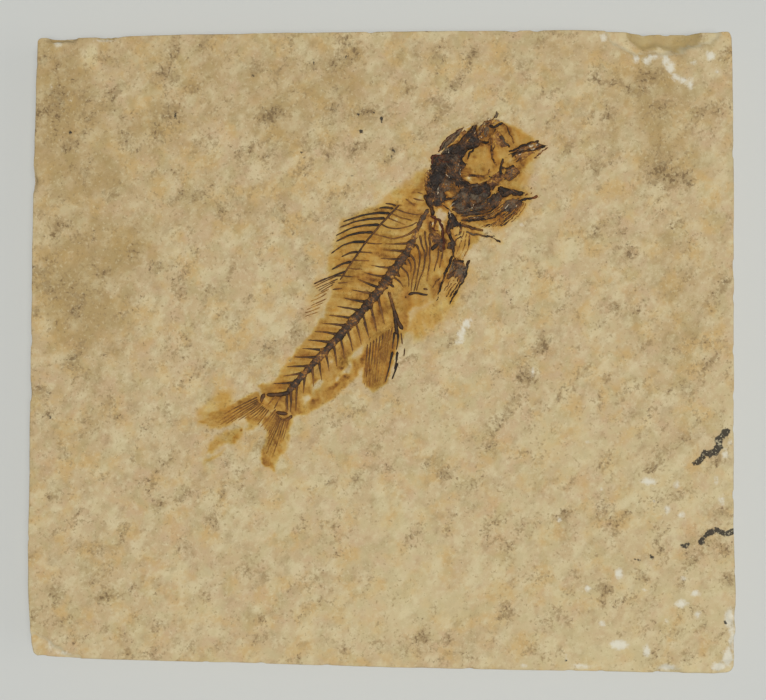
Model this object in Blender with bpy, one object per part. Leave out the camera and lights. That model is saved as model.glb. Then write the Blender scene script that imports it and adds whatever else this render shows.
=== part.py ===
"""A fossil fish in a slab of buff limestone, lying on its back.

Metres, +Z up. The origin is under the middle of the slab, on its flat back, and the face
with the fish looks up. The tables below are in millimetres, and MM turns them to metres.

The fish is laid out in its own plane: u runs from the root of the tail towards the snout,
and v from the backbone towards the back fin. fish_point() turns (u, v) into the slab's
x and y. Every bone stands on the bedding plane, which is the slab's flat upper face.
"""

import math

import bmesh
import bpy
import numpy as np
from mathutils import Vector, noise

MM = 0.001
WELD = 1e-6  # metres: curve caps are welded to their sides within this

# Slab
THICKNESS = 14.0
RIM_CHAMFER = 0.5
WALL_STEP = 7.0  # spacing of the points along the slab's edge
# Bedding layers that show in the walls: the height of each, and how far it is set back
LAYERS = ((2.4, 0.35), (4.0, 0.0), (6.9, 0.45), (8.1, 0.1), (10.8, 0.4))
WALL_ROUGHNESS = 0.35
WALL_WAVES = 0.21  # noise cycles per millimetre along the walls
CHIP_ROUGHNESS = 0.12
CHIP_WAVES = 1.7

# The slab's outline, anticlockwise from the top left corner
OUTLINE = (
    (-68.9, 62.2), (-69.3, 50.8), (-69.8, 33.0), (-70.3, 0.4), (-70.9, -46.6),
    (-70.3, -58.2), (-69.9, -60.2), (-68.9, -61.0), (-50.0, -61.7), (-33.4, -62.1),
    (0.2, -63.1), (34.4, -63.8), (69.4, -64.4), (70.6, -63.3), (70.8, -48.4),
    (70.4, -36.0), (70.4, 41.0), (70.0, 63.3), (69.3, 64.1), (54.0, 63.9),
    (40.8, 64.4), (0.2, 64.1), (-39.8, 63.5), (-60.8, 62.8), (-68.1, 62.8),
)

# Edge chips and shallow bruises: centre x, y, then radii in x and y, then depth
CHIPS = {
    "scoop_left": (53.4, 64.9, 4.4, 4.5, 3.0),
    "scoop_right": (59.9, 65.0, 4.3, 5.3, 3.8),
    "top_left_corner": (-63.6, 63.6, 3.6, 2.0, 3.2),
    "top_left_edge": (-56.0, 64.0, 3.4, 1.6, 3.0),
    "left_edge": (-70.5, 34.5, 1.3, 3.6, 2.4),
    "right_edge_high": (71.3, -53.2, 2.5, 1.9, 2.0),
    "right_edge_low": (71.4, -58.6, 2.1, 3.2, 2.2),
    "bottom_right_corner": (70.8, -64.2, 3.9, 2.9, 2.6),
    "bottom_edge": (57.2, -65.0, 3.4, 2.2, 2.6),
    "bruise_low": (47.4, -58.5, 2.3, 1.2, 0.4),
    "bruise_right": (60.0, -50.4, 1.5, 0.9, 0.35),
    "bruise_middle": (30.1, -4.1, 1.0, 1.4, 0.35),
    "bruise_by_fish": (16.2, 4.3, 1.1, 2.2, 0.3),
}

# Thin flakes split off along the bedding: how deep, then the outline of what is missing
FLAKES = {
    "ledge_top": (0.9, (
        (44.3, 66.0), (46.0, 61.6), (48.2, 60.2), (51.2, 59.3), (55.0, 59.6),
        (58.5, 58.6), (62.4, 59.4), (65.6, 60.9), (67.6, 63.0), (68.2, 66.0),
    )),
    "ledge_corner": (0.6, (
        (-73.0, -55.8), (-68.0, -56.6), (-66.3, -57.7), (-65.2, -59.2),
        (-63.4, -60.3), (-60.5, -60.9), (-59.5, -64.0), (-73.0, -64.0),
    )),
}

# Fish: where its tail root lies on the slab, and the angle from +X to its backbone
FISH_ROOT = (-19.2, -8.0)
FISH_ANGLE = math.radians(51.4)
BEDDING_GAP = 0.1  # the bones' hairline joint with the stone
FISH_SPACE = 200.0  # side of the box above the bedding plane that keeps what shows
AXIS_LIFT = 0.06  # bones lie one, two or three lifts above their foot, so over half shows
SLIM, STOUT = 0, 1  # bevel resolutions: four sides round a slim bone, six round a stout one

SHARP_ANGLE = math.radians(50)

# Backbone: its centre line, then the bones along it
COLUMN = (
    (1.0, -0.4), (5.0, -0.5), (9.0, -0.85), (15.0, -1.3), (21.0, -1.75), (28.0, -2.0),
    (34.0, -1.6), (37.0, -1.5), (39.5, -1.0), (42.0, -0.3), (46.0, 0.3),
)
VERTEBRAE = 21
VERTEBRA_PITCH = 2.2
FIRST_VERTEBRA = 1.3
# One spool: how far along the pitch, and the radius there, for rim, waist, rim and joint
SPOOL = ((-0.4, 0.88), (0.0, 0.62), (0.4, 0.88), (0.5, 0.5))

NEURAL_SPINES = 19
FIRST_NEURAL = 2.1
SPINE_FOOT = 0.5  # how far the spines start from the centre line
# Along the backbone: u, and how far the tip of a neural spine leans back and stands up
NEURAL_LEAN = (
    (2.0, -2.3, 2.1), (9.0, -2.6, 3.0), (15.0, -2.1, 3.3), (21.5, -1.8, 3.7),
    (27.6, -1.3, 4.0), (33.0, -2.0, 3.6), (37.0, -2.5, 3.3), (42.2, -4.9, 2.1),
)
HAEMAL_SPINES = 12
FIRST_HAEMAL = 2.4
HAEMAL_LEAN = (
    (2.0, -3.2, -2.3), (5.0, -2.6, -2.0), (9.0, -2.4, -2.6), (15.0, -2.7, -2.9),
    (21.5, -2.6, -3.3), (26.2, -2.9, -3.8),
)
SPINE_RADII = (0.3, 0.13)
SPINE_BOW = 0.08  # share of a spine's length that its middle stands off the straight line

RIBS = (
    ((30.0, -2.4), (29.9, -3.9)),
    ((32.3, -2.2), (31.9, -4.2), (31.5, -5.8)),
    ((34.2, -2.0), (33.6, -4.0), (33.0, -5.8)),
    ((37.3, -2.0), (35.2, -4.9), (31.0, -7.4)),
    ((39.6, -1.6), (36.0, -5.2), (31.7, -7.5)),
    ((41.3, -1.0), (37.5, -5.3), (32.2, -7.8)),
    ((42.2, -0.8), (38.9, -5.4), (35.6, -7.4)),
)
RIB_RADII = (0.3, 0.16)
BELLY_BAR = ((30.6, -7.0), (31.4, -7.9), (32.2, -9.1), (32.8, -10.0))
BELLY_BAR_RADII = (0.34, 0.3)

# Back fin: its base line; spines as base u, tip u, tip v; rods under it to their lower ends
DORSAL_BASE = ((24.2, 5.5), (28.5, 5.9), (33.0, 6.2), (38.0, 6.1), (43.2, 5.7))
DORSAL_BASE_RADII = (0.26, 0.3)
DORSAL_SPINES = (
    (42.8, 41.8, 8.0), (42.0, 40.3, 8.3), (40.9, 33.9, 12.3), (39.5, 32.5, 12.0),
    (37.7, 30.6, 11.6), (35.8, 29.8, 10.8), (33.3, 27.3, 10.2), (30.8, 28.0, 8.2),
    (28.3, 24.9, 8.1), (26.3, 20.8, 8.8),
)
DORSAL_SPINE_RADII = (0.36, 0.14)
DORSAL_BOW = 0.08
DORSAL_RODS = (
    (25.2, 26.3, 3.9), (27.1, 28.5, 3.7), (29.1, 30.7, 3.5), (31.1, 32.6, 3.7),
    (33.4, 35.0, 3.6), (35.8, 37.0, 3.4), (38.0, 39.1, 3.3), (40.2, 40.9, 2.9),
    (41.2, 42.6, 2.5), (42.4, 43.9, 2.2),
)
ROD_RADII = (0.26, 0.13)
SOFT_RAYS = 7
SOFT_RAY_PITCH = 0.9
SOFT_RAY_REACH = (-4.4, 2.4)
SOFT_RAY_RADII = (0.2, 0.12)

# Pelvic fin: base plate, leading spine, rays as root v, tip u, tip v
PELVIC_PLATE = (
    (38.3, -10.9), (40.0, -10.3), (41.9, -9.9), (42.4, -11.2), (42.1, -11.9),
    (43.2, -12.4), (42.0, -13.2), (40.1, -13.9), (39.0, -12.6),
)
PELVIC_SPINE = ((41.8, -9.9), (38.0, -10.6), (33.5, -12.1))
PELVIC_RAYS = (
    (-11.6, 36.4, -11.9), (-12.3, 35.9, -12.6), (-12.9, 35.2, -13.2), (-13.5, 34.4, -14.5),
)
PELVIC_ROOT_U = 40.2
PELVIC_RADII = (0.34, 0.14)

# Anal fin: the two bars of its first support, spines, and soft rays between two fan edges
ANAL_BARS = (
    ((28.4, -3.6), (26.7, -6.6), (24.5, -9.7)),
    ((28.1, -3.7), (25.7, -6.4), (22.7, -9.3)),
)
ANAL_BAR_RADII = (0.42, 0.5)
ANAL_SPINES = (
    ((24.2, -9.2), (20.0, -12.6), (15.0, -15.0)),
    ((23.0, -9.2), (18.5, -12.2), (14.0, -14.0)),
    ((23.7, -10.2), (22.0, -12.4), (20.5, -13.7)),
)
ANAL_SPINE_RADII = (0.42, 0.18)
ANAL_BASE = ((24.2, -8.9), (21.5, -8.0), (18.2, -7.2))
ANAL_BASE_RADII = (0.35, 0.25)
ANAL_RAYS = 6
ANAL_RAY_TIPS = ((14.2, -13.4), (11.4, -12.2))
ANAL_RAY_RADII = (0.22, 0.14)

# Tail: the hypural plate, its root bars, and two fans of rays by the ends of each fan
HYPURAL_PLATE = (
    (0.3, 0.35), (-1.4, 1.2), (-3.2, 3.2), (-4.6, 3.9), (-4.3, 0.0), (-4.4, -3.4),
    (-3.2, -3.9), (-1.0, -1.3),
)
UPPER_RAYS = 10
UPPER_ROOTS = ((-4.3, 3.7), (-4.1, 0.5))
UPPER_TIPS = ((-12.5, 7.5), (-13.5, 6.1), (-11.2, 4.5), (-8.5, 2.6), (-8.3, 0.6))
LOWER_RAYS = 10
LOWER_ROOTS = ((-4.1, -0.6), (-3.7, -3.5))
LOWER_TIPS = ((-8.5, -0.5), (-8.7, -2.0), (-11.0, -3.8), (-12.0, -5.2), (-8.6, -5.9))
TAIL_RAY_RADII = (0.24, 0.13)
URAL_BONES = (
    ((0.2, 0.1), (-1.5, 0.9), (-3.2, 3.0)),
    ((0.2, -0.4), (-1.4, -1.8), (-3.2, -3.4)),
    ((-4.2, 0.2), (-4.2, -1.2), (-3.1, -2.9)),
)
URAL_RADII = (0.45, 0.34)

# Skull: plates by outline, windows cut through them, then the bones that stand on them
SKULL_PLATE = (
    (47.0, 0.9), (47.3, 2.0), (49.0, 3.5), (51.2, 5.0), (54.0, 5.7), (54.9, 6.7),
    (56.3, 5.4), (57.4, 6.2), (60.0, 6.3), (63.4, 5.2), (63.2, 4.2), (65.3, 3.4),
    (66.2, 2.6), (67.4, 2.7), (69.8, 1.8), (69.3, 0.5), (68.6, -1.8), (67.0, -4.6),
    (70.8, -8.1), (70.9, -9.8), (68.0, -9.3), (65.0, -7.0), (63.4, -7.2), (60.4, -6.9),
    (57.0, -7.2), (53.0, -6.6), (51.0, -5.4), (49.2, -3.4), (48.8, -0.8),
)
SKULL_WINDOWS = (
    ((58.3, 0.9), (61.0, 0.5), (63.4, 0.3), (63.5, -1.4), (61.8, -4.2), (59.6, -4.0), (58.1, -2.0)),
    ((64.4, -0.9), (67.7, -0.9), (67.4, -2.4), (66.0, -4.4), (63.4, -4.6), (63.1, -3.0)),
    ((51.0, -0.3), (52.0, -0.5), (52.2, -1.6), (51.2, -1.3)),
)
PLATE_HEIGHT = 0.45
PLATE_BEVEL = 0.12
# Each bone is its (u, v) points, then its radius at the root and at the tip
SKULL_BONES = (
    (((47.1, 0.8), (48.4, 2.3), (51.2, 4.2), (54.6, 5.4)), 0.75, 0.6),
    (((48.4, 0.9), (52.0, 2.6), (56.5, 3.4)), 0.9, 0.8),
    (((54.8, 6.2), (55.6, 3.6), (55.2, 0.4)), 0.5, 0.9),
    (((56.9, 5.8), (60.0, 6.0), (63.2, 5.2)), 0.5, 0.25),
    (((57.6, 4.0), (61.0, 3.5), (65.0, 3.2)), 0.95, 0.5),
    (((57.4, 1.8), (60.6, 1.8), (63.7, 1.2), (64.0, -0.3)), 0.6, 0.45),
    (((50.0, 0.2), (53.6, 0.6), (57.6, 0.7)), 0.6, 0.7),
    (((54.6, -0.6), (54.9, -3.4), (56.9, -5.6)), 0.8, 1.0),
    (((55.4, -0.8), (57.2, -2.4), (58.4, -4.1)), 0.45, 0.35),
    (((50.2, -2.9), (52.4, -3.9), (54.6, -4.6)), 0.6, 0.8),
    (((49.9, -4.2), (52.6, -6.0), (56.8, -6.8)), 0.4, 0.4),
    (((57.0, -5.6), (59.4, -6.0), (61.4, -6.3)), 0.5, 0.35),
    (((60.2, -6.5), (61.6, -5.9), (63.2, -5.0)), 0.4, 0.3),
    (((65.3, -0.4), (63.5, -1.8), (61.7, -4.5), (62.0, -5.4)), 0.35, 0.3),
    (((69.0, 0.2), (68.6, -1.8), (67.3, -4.6)), 0.3, 0.25),
    (((66.6, -1.0), (66.4, -2.8), (65.8, -4.8)), 0.5, 0.6),
    (((64.4, 1.6), (66.8, 2.3), (69.6, 1.6)), 0.5, 0.3),
    (((64.6, 0.4), (66.8, 0.9), (68.6, 0.1)), 0.4, 0.4),
    (((65.4, -5.2), (67.6, -6.4), (70.7, -8.1)), 0.5, 0.35),
    (((65.6, -6.5), (68.0, -8.0), (70.8, -9.6)), 0.4, 0.35),
)

# Lower jaw with its gill rays; every ray starts at the hinge
JAW_PLATE = (
    (57.9, -7.9), (58.8, -7.9), (59.4, -9.0), (60.2, -10.9), (61.2, -12.6), (60.0, -13.5),
    (57.4, -12.6), (55.4, -11.6), (55.6, -9.0), (56.8, -8.8),
)
JAW_BONES = (
    (((58.4, -8.4), (59.2, -10.2), (60.7, -12.4)), 0.75, 0.3),
    (((56.6, -9.6), (58.0, -11.2), (60.0, -13.2), (62.0, -14.9)), 0.6, 0.22),
)
GILL_RAYS = (
    ((49.8, -6.1), (51.3, -7.4), (53.2, -8.4), (57.0, -9.0)),
    ((49.7, -6.4), (51.0, -8.2), (52.9, -9.6), (57.0, -10.2)),
    ((49.5, -6.5), (50.5, -8.8), (52.4, -10.6), (54.6, -11.2), (57.6, -11.8)),
    ((49.4, -6.4), (50.0, -9.2), (51.8, -11.3), (54.6, -12.2), (58.5, -12.9)),
)
GILL_RAY_RADII = (0.42, 0.36)
JAW_HINGE = ((49.2, -5.9), (50.3, -6.8))
HINGE_RADII = (0.45, 0.45)

# Shoulder girdle
GIRDLE_PLATE = (
    (48.3, -2.9), (46.8, -3.8), (45.7, -4.8), (47.2, -6.2), (47.9, -6.9), (48.5, -5.2),
)
GIRDLE_BONES = (
    (((47.7, -6.0), (48.6, -9.0), (49.5, -11.6), (50.1, -14.5)), 0.5, 0.22),
    (((46.4, -4.6), (44.6, -6.8), (43.5, -8.0), (42.7, -8.8)), 0.45, 0.3),
    (((45.7, -1.4), (45.5, -3.8), (44.2, -5.2), (42.8, -6.6)), 0.6, 0.5),
    (((43.6, -5.9), (42.2, -6.6), (38.6, -8.5)), 0.3, 0.16),
    (((45.4, -4.2), (46.4, -4.6)), 0.5, 0.5),
    (((44.7, -6.9), (43.2, -6.4)), 0.4, 0.4),
)


def clear_scene():
    """Remove every object that the file opened with."""
    for obj in list(bpy.data.objects):
        bpy.data.objects.remove(obj, do_unlink=True)


def make_collection(name):
    """A new collection in the scene."""
    group = bpy.data.collections.new(name)
    bpy.context.scene.collection.children.link(group)
    return group


def make_material(name, colour, roughness):
    """A Principled BSDF of one colour; stone and bone aren't metal."""
    material = bpy.data.materials.new(name)
    material.use_nodes = True
    shader = material.node_tree.nodes["Principled BSDF"]
    shader.inputs["Base Color"].default_value = (*colour, 1.0)
    shader.inputs["Roughness"].default_value = roughness
    shader.inputs["Metallic"].default_value = 0.0
    return material


def fish_point(u, v, height=0.0):
    """A point of the fish's plane, raised by height above the bones' foot, in metres."""
    x = FISH_ROOT[0] + u * math.cos(FISH_ANGLE) - v * math.sin(FISH_ANGLE)
    y = FISH_ROOT[1] + u * math.sin(FISH_ANGLE) + v * math.cos(FISH_ANGLE)
    return Vector((x, y, THICKNESS + BEDDING_GAP + height)) * MM


def along(table, u, column=1):
    """The value of one column of a table at u, straight between its rows."""
    rows = np.array(sorted(table))
    return float(np.interp(u, rows[:, 0], rows[:, column]))


def spread(points, count):
    """Count points at even steps of the list's own index, straight between its points."""
    points = np.array(points)
    steps = np.linspace(0, len(points) - 1, count)
    index = np.arange(len(points))
    return [tuple(float(np.interp(s, index, points[:, k])) for k in (0, 1)) for s in steps]


def bowed(start, end, bow):
    """Three points from start to end whose middle stands bow to the left of the line."""
    start, end = np.array(start), np.array(end)
    way = (end - start) / np.linalg.norm(end - start)
    middle = (start + end) / 2 + bow * np.array((-way[1], way[0]))
    return start, middle, end


def curve_to_mesh(curve_object):
    """The evaluated curve as a closed mesh, with its caps welded and the curve removed."""
    graph = bpy.context.evaluated_depsgraph_get()
    mesh = bpy.data.meshes.new_from_object(curve_object.evaluated_get(graph))
    mesh.transform(curve_object.matrix_world)
    work = bmesh.new()
    work.from_mesh(mesh)
    bmesh.ops.remove_doubles(work, verts=work.verts, dist=WELD)
    work.to_mesh(mesh)
    work.free()
    bpy.data.objects.remove(curve_object, do_unlink=True)
    return mesh


def outline_mesh(name, outlines, low, high, bevel=0.0):
    """Flat outlines in metres, the later ones holes in the first, from height low to high."""
    curve = bpy.data.curves.new(name, "CURVE")
    curve.dimensions = "2D"
    curve.fill_mode = "BOTH"
    curve.extrude = (high - low) / 2 - bevel
    curve.bevel_depth = bevel
    curve.bevel_resolution = 0
    curve.offset = -bevel
    for outline in outlines:
        spline = curve.splines.new("POLY")
        spline.points.add(len(outline) - 1)
        for point, (x, y) in zip(spline.points, outline):
            point.co = (x, y, 0.0, 1.0)
        spline.use_cyclic_u = True
    obj = bpy.data.objects.new(name, curve)
    obj.location.z = (low + high) / 2
    bpy.context.scene.collection.objects.link(obj)
    bpy.context.view_layer.update()
    return curve_to_mesh(obj)


def bones_mesh(name, bones, sides=SLIM):
    """Rods: each bone is its (u, v) points, then the radii that are spread along them."""
    curve = bpy.data.curves.new(name, "CURVE")
    curve.dimensions = "3D"
    curve.bevel_depth = MM
    curve.bevel_resolution = sides
    curve.use_fill_caps = True
    for number, (points, *radii) in enumerate(bones):
        spline = curve.splines.new("POLY")
        spline.points.add(len(points) - 1)
        lift = AXIS_LIFT * (1 + number % 3)
        steps = np.linspace(0, len(radii) - 1, len(points))
        spline.points.foreach_set("radius", np.interp(steps, range(len(radii)), radii))
        for point, (u, v) in zip(spline.points, points):
            point.co = (*fish_point(u, v, lift), 1.0)
    obj = bpy.data.objects.new(name, curve)
    bpy.context.scene.collection.objects.link(obj)
    return curve_to_mesh(obj)


def column_bone():
    """The vertebrae as one row of spools, each with two rims, a waist and a joint."""
    points, radii = [], []
    for number in range(VERTEBRAE):
        for share, radius in SPOOL:
            u = FIRST_VERTEBRA + (number + share) * VERTEBRA_PITCH
            points.append((u, along(COLUMN, u)))
            radii.append(radius)
    return points, *radii


def leaning_spines(count, first, lean, foot):
    """A row of spines along the backbone, each leaning back as the lean table says."""
    rows = []
    for number in range(count):
        u = first + number * VERTEBRA_PITCH
        root = (u, along(COLUMN, u) + foot)
        tip = (u + along(lean, u, 1), root[1] + along(lean, u, 2))
        bow = -SPINE_BOW * math.dist(root, tip) * math.copysign(1, foot)
        rows.append((bowed(root, tip, bow), *SPINE_RADII))
    return rows


def fan(roots, tips, count, radii):
    """Rays from evenly spread roots to evenly spread tips."""
    pairs = zip(spread(roots, count), spread(tips, count))
    return [((root, tip), *radii) for root, tip in pairs]


def make_node(name, mesh, material, group):
    """An object of this mesh and material in the fossil's collection."""
    obj = bpy.data.objects.new(name, mesh)
    mesh.materials.clear()
    mesh.materials.append(material)
    group.objects.link(obj)
    return obj


def make_cutter(name, mesh, group):
    """A shape that only cuts: it isn't rendered and shows as wire."""
    obj = bpy.data.objects.new(name, mesh)
    obj.hide_render = True
    obj.display_type = "WIRE"
    group.objects.link(obj)
    return obj


def fuse_bones(name, meshes, material, group, above_stone):
    """Join a group's bones and keep what stands above the bedding plane, as one solid."""
    work = bmesh.new()
    for mesh in meshes:
        work.from_mesh(mesh)
        bpy.data.meshes.remove(mesh)
    joined = bpy.data.meshes.new(name)
    work.to_mesh(joined)
    work.free()
    joined.shade_smooth()
    joined.set_sharp_from_angle(angle=SHARP_ANGLE)
    obj = make_node(name, joined, material, group)
    keep = obj.modifiers.new("above_stone", "BOOLEAN")
    keep.operation = "INTERSECT"
    keep.solver = "EXACT"
    keep.use_self = True
    keep.object = above_stone
    return obj


def fish_outline(points):
    """A (u, v) outline as x, y in metres."""
    return [tuple(fish_point(u, v))[:2] for u, v in points]


def plate_mesh(name, outline, windows=()):
    """A flat bone with softened edges, its foot sunk under the clipping plane."""
    foot = (THICKNESS + BEDDING_GAP) * MM
    outlines = [fish_outline(points) for points in (outline, *windows)]
    return outline_mesh(name, outlines, foot - MM, foot + PLATE_HEIGHT * MM, PLATE_BEVEL * MM)


def edge_points():
    """The slab's outline with points every few millimetres, in metres."""
    corners = [Vector(point) for point in OUTLINE]
    points = []
    for start, end in zip(corners, corners[1:] + corners[:1]):
        steps = max(1, round((end - start).length / WALL_STEP))
        points += [tuple(start.lerp(end, step / steps) * MM) for step in range(steps)]
    return points


def wall_inset(vertex, inset):
    """How far a wall's point moves inwards: its layer's setback and some roughness."""
    rough = (1 + noise.noise(vertex.co / MM * WALL_WAVES)) / 2
    outward = Vector((vertex.normal.x, vertex.normal.y, 0)).normalized()
    return outward * (-(inset + WALL_ROUGHNESS * rough) * MM)


def make_slab(material, group):
    """The stone: its outline extruded, then its walls set in and out layer by layer."""
    mesh = outline_mesh("slab", [edge_points()], 0.0, THICKNESS * MM)
    work = bmesh.new()
    work.from_mesh(mesh)
    faces = [face for face in work.faces if abs(face.normal.z) > abs(face.normal.xy.length)]
    bmesh.ops.dissolve_faces(work, faces=faces)
    insets = {RIM_CHAMFER: 0.0, THICKNESS - RIM_CHAMFER: 0.0, **dict(LAYERS)}
    for level in insets:
        geometry = work.verts[:] + work.edges[:] + work.faces[:]
        bmesh.ops.bisect_plane(work, geom=geometry, plane_co=(0, 0, level * MM), plane_no=(0, 0, 1))
    work.normal_update()
    insets.update({0.0: RIM_CHAMFER, THICKNESS: RIM_CHAMFER})
    moves = []
    for vertex in work.verts:
        level = min(insets, key=lambda height: abs(height - vertex.co.z / MM))
        moves.append((vertex, wall_inset(vertex, insets[level])))
    for vertex, move in moves:
        vertex.co += move
    caps = [face for face in work.faces if len(face.verts) > 4]
    bmesh.ops.triangulate(work, faces=caps)
    work.to_mesh(mesh)
    work.free()
    return make_node("slab", mesh, material, group)


def chip_mesh(name, x, y, radius_x, radius_y, depth):
    """A lens that dips depth below the face, for one chip."""
    work = bmesh.new()
    bmesh.ops.create_icosphere(work, subdivisions=2, radius=1.0)
    for vertex in work.verts:
        bumpy = 1 + CHIP_ROUGHNESS * noise.noise(vertex.co * CHIP_WAVES + Vector((x, y, 0)))
        vertex.co = Vector((x + vertex.co.x * radius_x * bumpy,
                            y + vertex.co.y * radius_y * bumpy,
                            THICKNESS + vertex.co.z * depth * bumpy)) * MM
    mesh = bpy.data.meshes.new(name)
    work.to_mesh(mesh)
    work.free()
    return mesh


def cut(target, cutter):
    """Take the cutter's shape out of the target."""
    modifier = target.modifiers.new(cutter.name, "BOOLEAN")
    modifier.operation = "DIFFERENCE"
    modifier.solver = "EXACT"
    modifier.object = cutter


def chip_slab(slab, cutters):
    """Chips out of the edges, bruises in the face, and flakes lost along the bedding."""
    for name, numbers in CHIPS.items():
        cut(slab, make_cutter(name, chip_mesh(name, *numbers), cutters))
    for name, (depth, outline) in FLAKES.items():
        points = [(x * MM, y * MM) for x, y in outline]
        mesh = outline_mesh(name, [points], (THICKNESS - depth) * MM, (THICKNESS + 2) * MM)
        cut(slab, make_cutter(name, mesh, cutters))


def make_clipping_box(cutters):
    """All the space above the bedding plane that bones may fill."""
    work = bmesh.new()
    bmesh.ops.create_cube(work, size=FISH_SPACE * MM)
    middle = THICKNESS + BEDDING_GAP + FISH_SPACE / 2
    bmesh.ops.translate(work, verts=work.verts, vec=(0, 0, middle * MM))
    mesh = bpy.data.meshes.new("above_stone")
    work.to_mesh(mesh)
    work.free()
    return make_cutter("above_stone", mesh, cutters)


def backbone_meshes():
    """Vertebrae, with neural spines above, haemal spines and ribs below."""
    column = bones_mesh("column", [column_bone()], STOUT)
    neural = leaning_spines(NEURAL_SPINES, FIRST_NEURAL, NEURAL_LEAN, SPINE_FOOT)
    haemal = leaning_spines(HAEMAL_SPINES, FIRST_HAEMAL, HAEMAL_LEAN, -SPINE_FOOT)
    ribs = [(points, *RIB_RADII) for points in RIBS]
    belly = [(BELLY_BAR, *BELLY_BAR_RADII)]
    return [column, bones_mesh("backbone", neural + haemal + ribs + belly)]


def dorsal_fin_meshes():
    """Base line, bowed spines, short soft rays behind them, and rods reaching down."""
    bones = [(DORSAL_BASE, *DORSAL_BASE_RADII)]
    for u, *tip in DORSAL_SPINES:
        root = (u, along(DORSAL_BASE, u))
        bow = DORSAL_BOW * math.dist(root, tip)
        bones.append((bowed(root, tip, bow), *DORSAL_SPINE_RADII))
    for u, *end in DORSAL_RODS:
        bones.append((((u, along(DORSAL_BASE, u)), end), *ROD_RADII))
    last_u, base_v = DORSAL_BASE[0]
    for number in range(SOFT_RAYS):
        u = last_u - number * SOFT_RAY_PITCH
        tip = (u + SOFT_RAY_REACH[0], base_v + SOFT_RAY_REACH[1])
        bones.append((((u, base_v), tip), *SOFT_RAY_RADII))
    bones.append((((last_u, base_v), (u, base_v)), *ROD_RADII))
    return [bones_mesh("dorsal_fin", bones)]


def pelvic_fin_meshes():
    """The base plate with its leading spine and rays."""
    rays = [(((PELVIC_ROOT_U, v), tip), *PELVIC_RADII) for v, *tip in PELVIC_RAYS]
    plate = plate_mesh("pelvic_plate", PELVIC_PLATE)
    return [plate, bones_mesh("pelvic_fin", [(PELVIC_SPINE, *PELVIC_RADII)] + rays)]


def anal_fin_meshes():
    """Two stout bars down from the backbone, the spines and a fan of soft rays."""
    bars = [(points, *ANAL_BAR_RADII) for points in ANAL_BARS]
    spines = [(points, *ANAL_SPINE_RADII) for points in ANAL_SPINES]
    base = [(ANAL_BASE, *ANAL_BASE_RADII)]
    rays = fan(ANAL_BASE, ANAL_RAY_TIPS, ANAL_RAYS, ANAL_RAY_RADII)
    return [bones_mesh("anal_fin", bars + spines + base + rays)]


def tail_fin_meshes():
    """The hypural plate with its bones and the two fans of rays."""
    bones = [(points, *URAL_RADII) for points in URAL_BONES]
    upper = fan(UPPER_ROOTS, UPPER_TIPS, UPPER_RAYS, TAIL_RAY_RADII)
    lower = fan(LOWER_ROOTS, LOWER_TIPS, LOWER_RAYS, TAIL_RAY_RADII)
    return [plate_mesh("hypural_plate", HYPURAL_PLATE), bones_mesh("tail_fin", bones + upper + lower)]


def skull_meshes():
    """The crushed skull's plate with its windows, and the bones that stand on it."""
    return [plate_mesh("skull_plate", SKULL_PLATE, SKULL_WINDOWS), bones_mesh("skull", SKULL_BONES)]


def lower_jaw_meshes():
    """The jaw's plate and tip, and the gill rays that fan from the hinge."""
    rays = [(points, *GILL_RAY_RADII) for points in GILL_RAYS]
    hinge = [(JAW_HINGE, *HINGE_RADII)]
    return [plate_mesh("jaw_plate", JAW_PLATE), bones_mesh("lower_jaw", [*JAW_BONES, *rays, *hinge])]


def girdle_meshes():
    """The wedge behind the gill cover and the rods that run from it."""
    return [plate_mesh("girdle_plate", GIRDLE_PLATE), bones_mesh("shoulder_girdle", GIRDLE_BONES)]


def main():
    clear_scene()
    fossil = make_collection("fossil_fish_slab")
    cutters = make_collection("cutters")
    limestone = make_material("limestone", (0.61, 0.46, 0.24), 0.9)
    bone = make_material("fossil_bone", (0.06, 0.035, 0.02), 0.55)
    ray = make_material("amber_ray", (0.22, 0.10, 0.03), 0.6)
    above_stone = make_clipping_box(cutters)
    chip_slab(make_slab(limestone, fossil), cutters)
    for name, meshes, material in (
        ("skull", skull_meshes(), bone),
        ("lower_jaw", lower_jaw_meshes(), bone),
        ("shoulder_girdle", girdle_meshes(), bone),
        ("backbone", backbone_meshes(), bone),
        ("dorsal_fin", dorsal_fin_meshes(), bone),
        ("pelvic_fin", pelvic_fin_meshes(), bone),
        ("anal_fin", anal_fin_meshes(), bone),
        ("tail_fin", tail_fin_meshes(), ray),
    ):
        fuse_bones(name, meshes, material, fossil, above_stone)


main()
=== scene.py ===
# %% [markdown]
# # A fossil fish in a slab of limestone
#
# The real object is a thin slab of fine-grained lake limestone, split along its bedding so that
# a small fish shows on the fresh face. Three things make its look: the mottled stone, the
# amber film that the fish's soft parts left in it, and the dark bones, which stand a few
# tenths of a millimetre proud.
#
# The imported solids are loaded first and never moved. Every piece below takes the place of one
# of them, in the same frame, so nothing has to be fitted afterwards.

# %% Load the frame
import functools
import math

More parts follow.
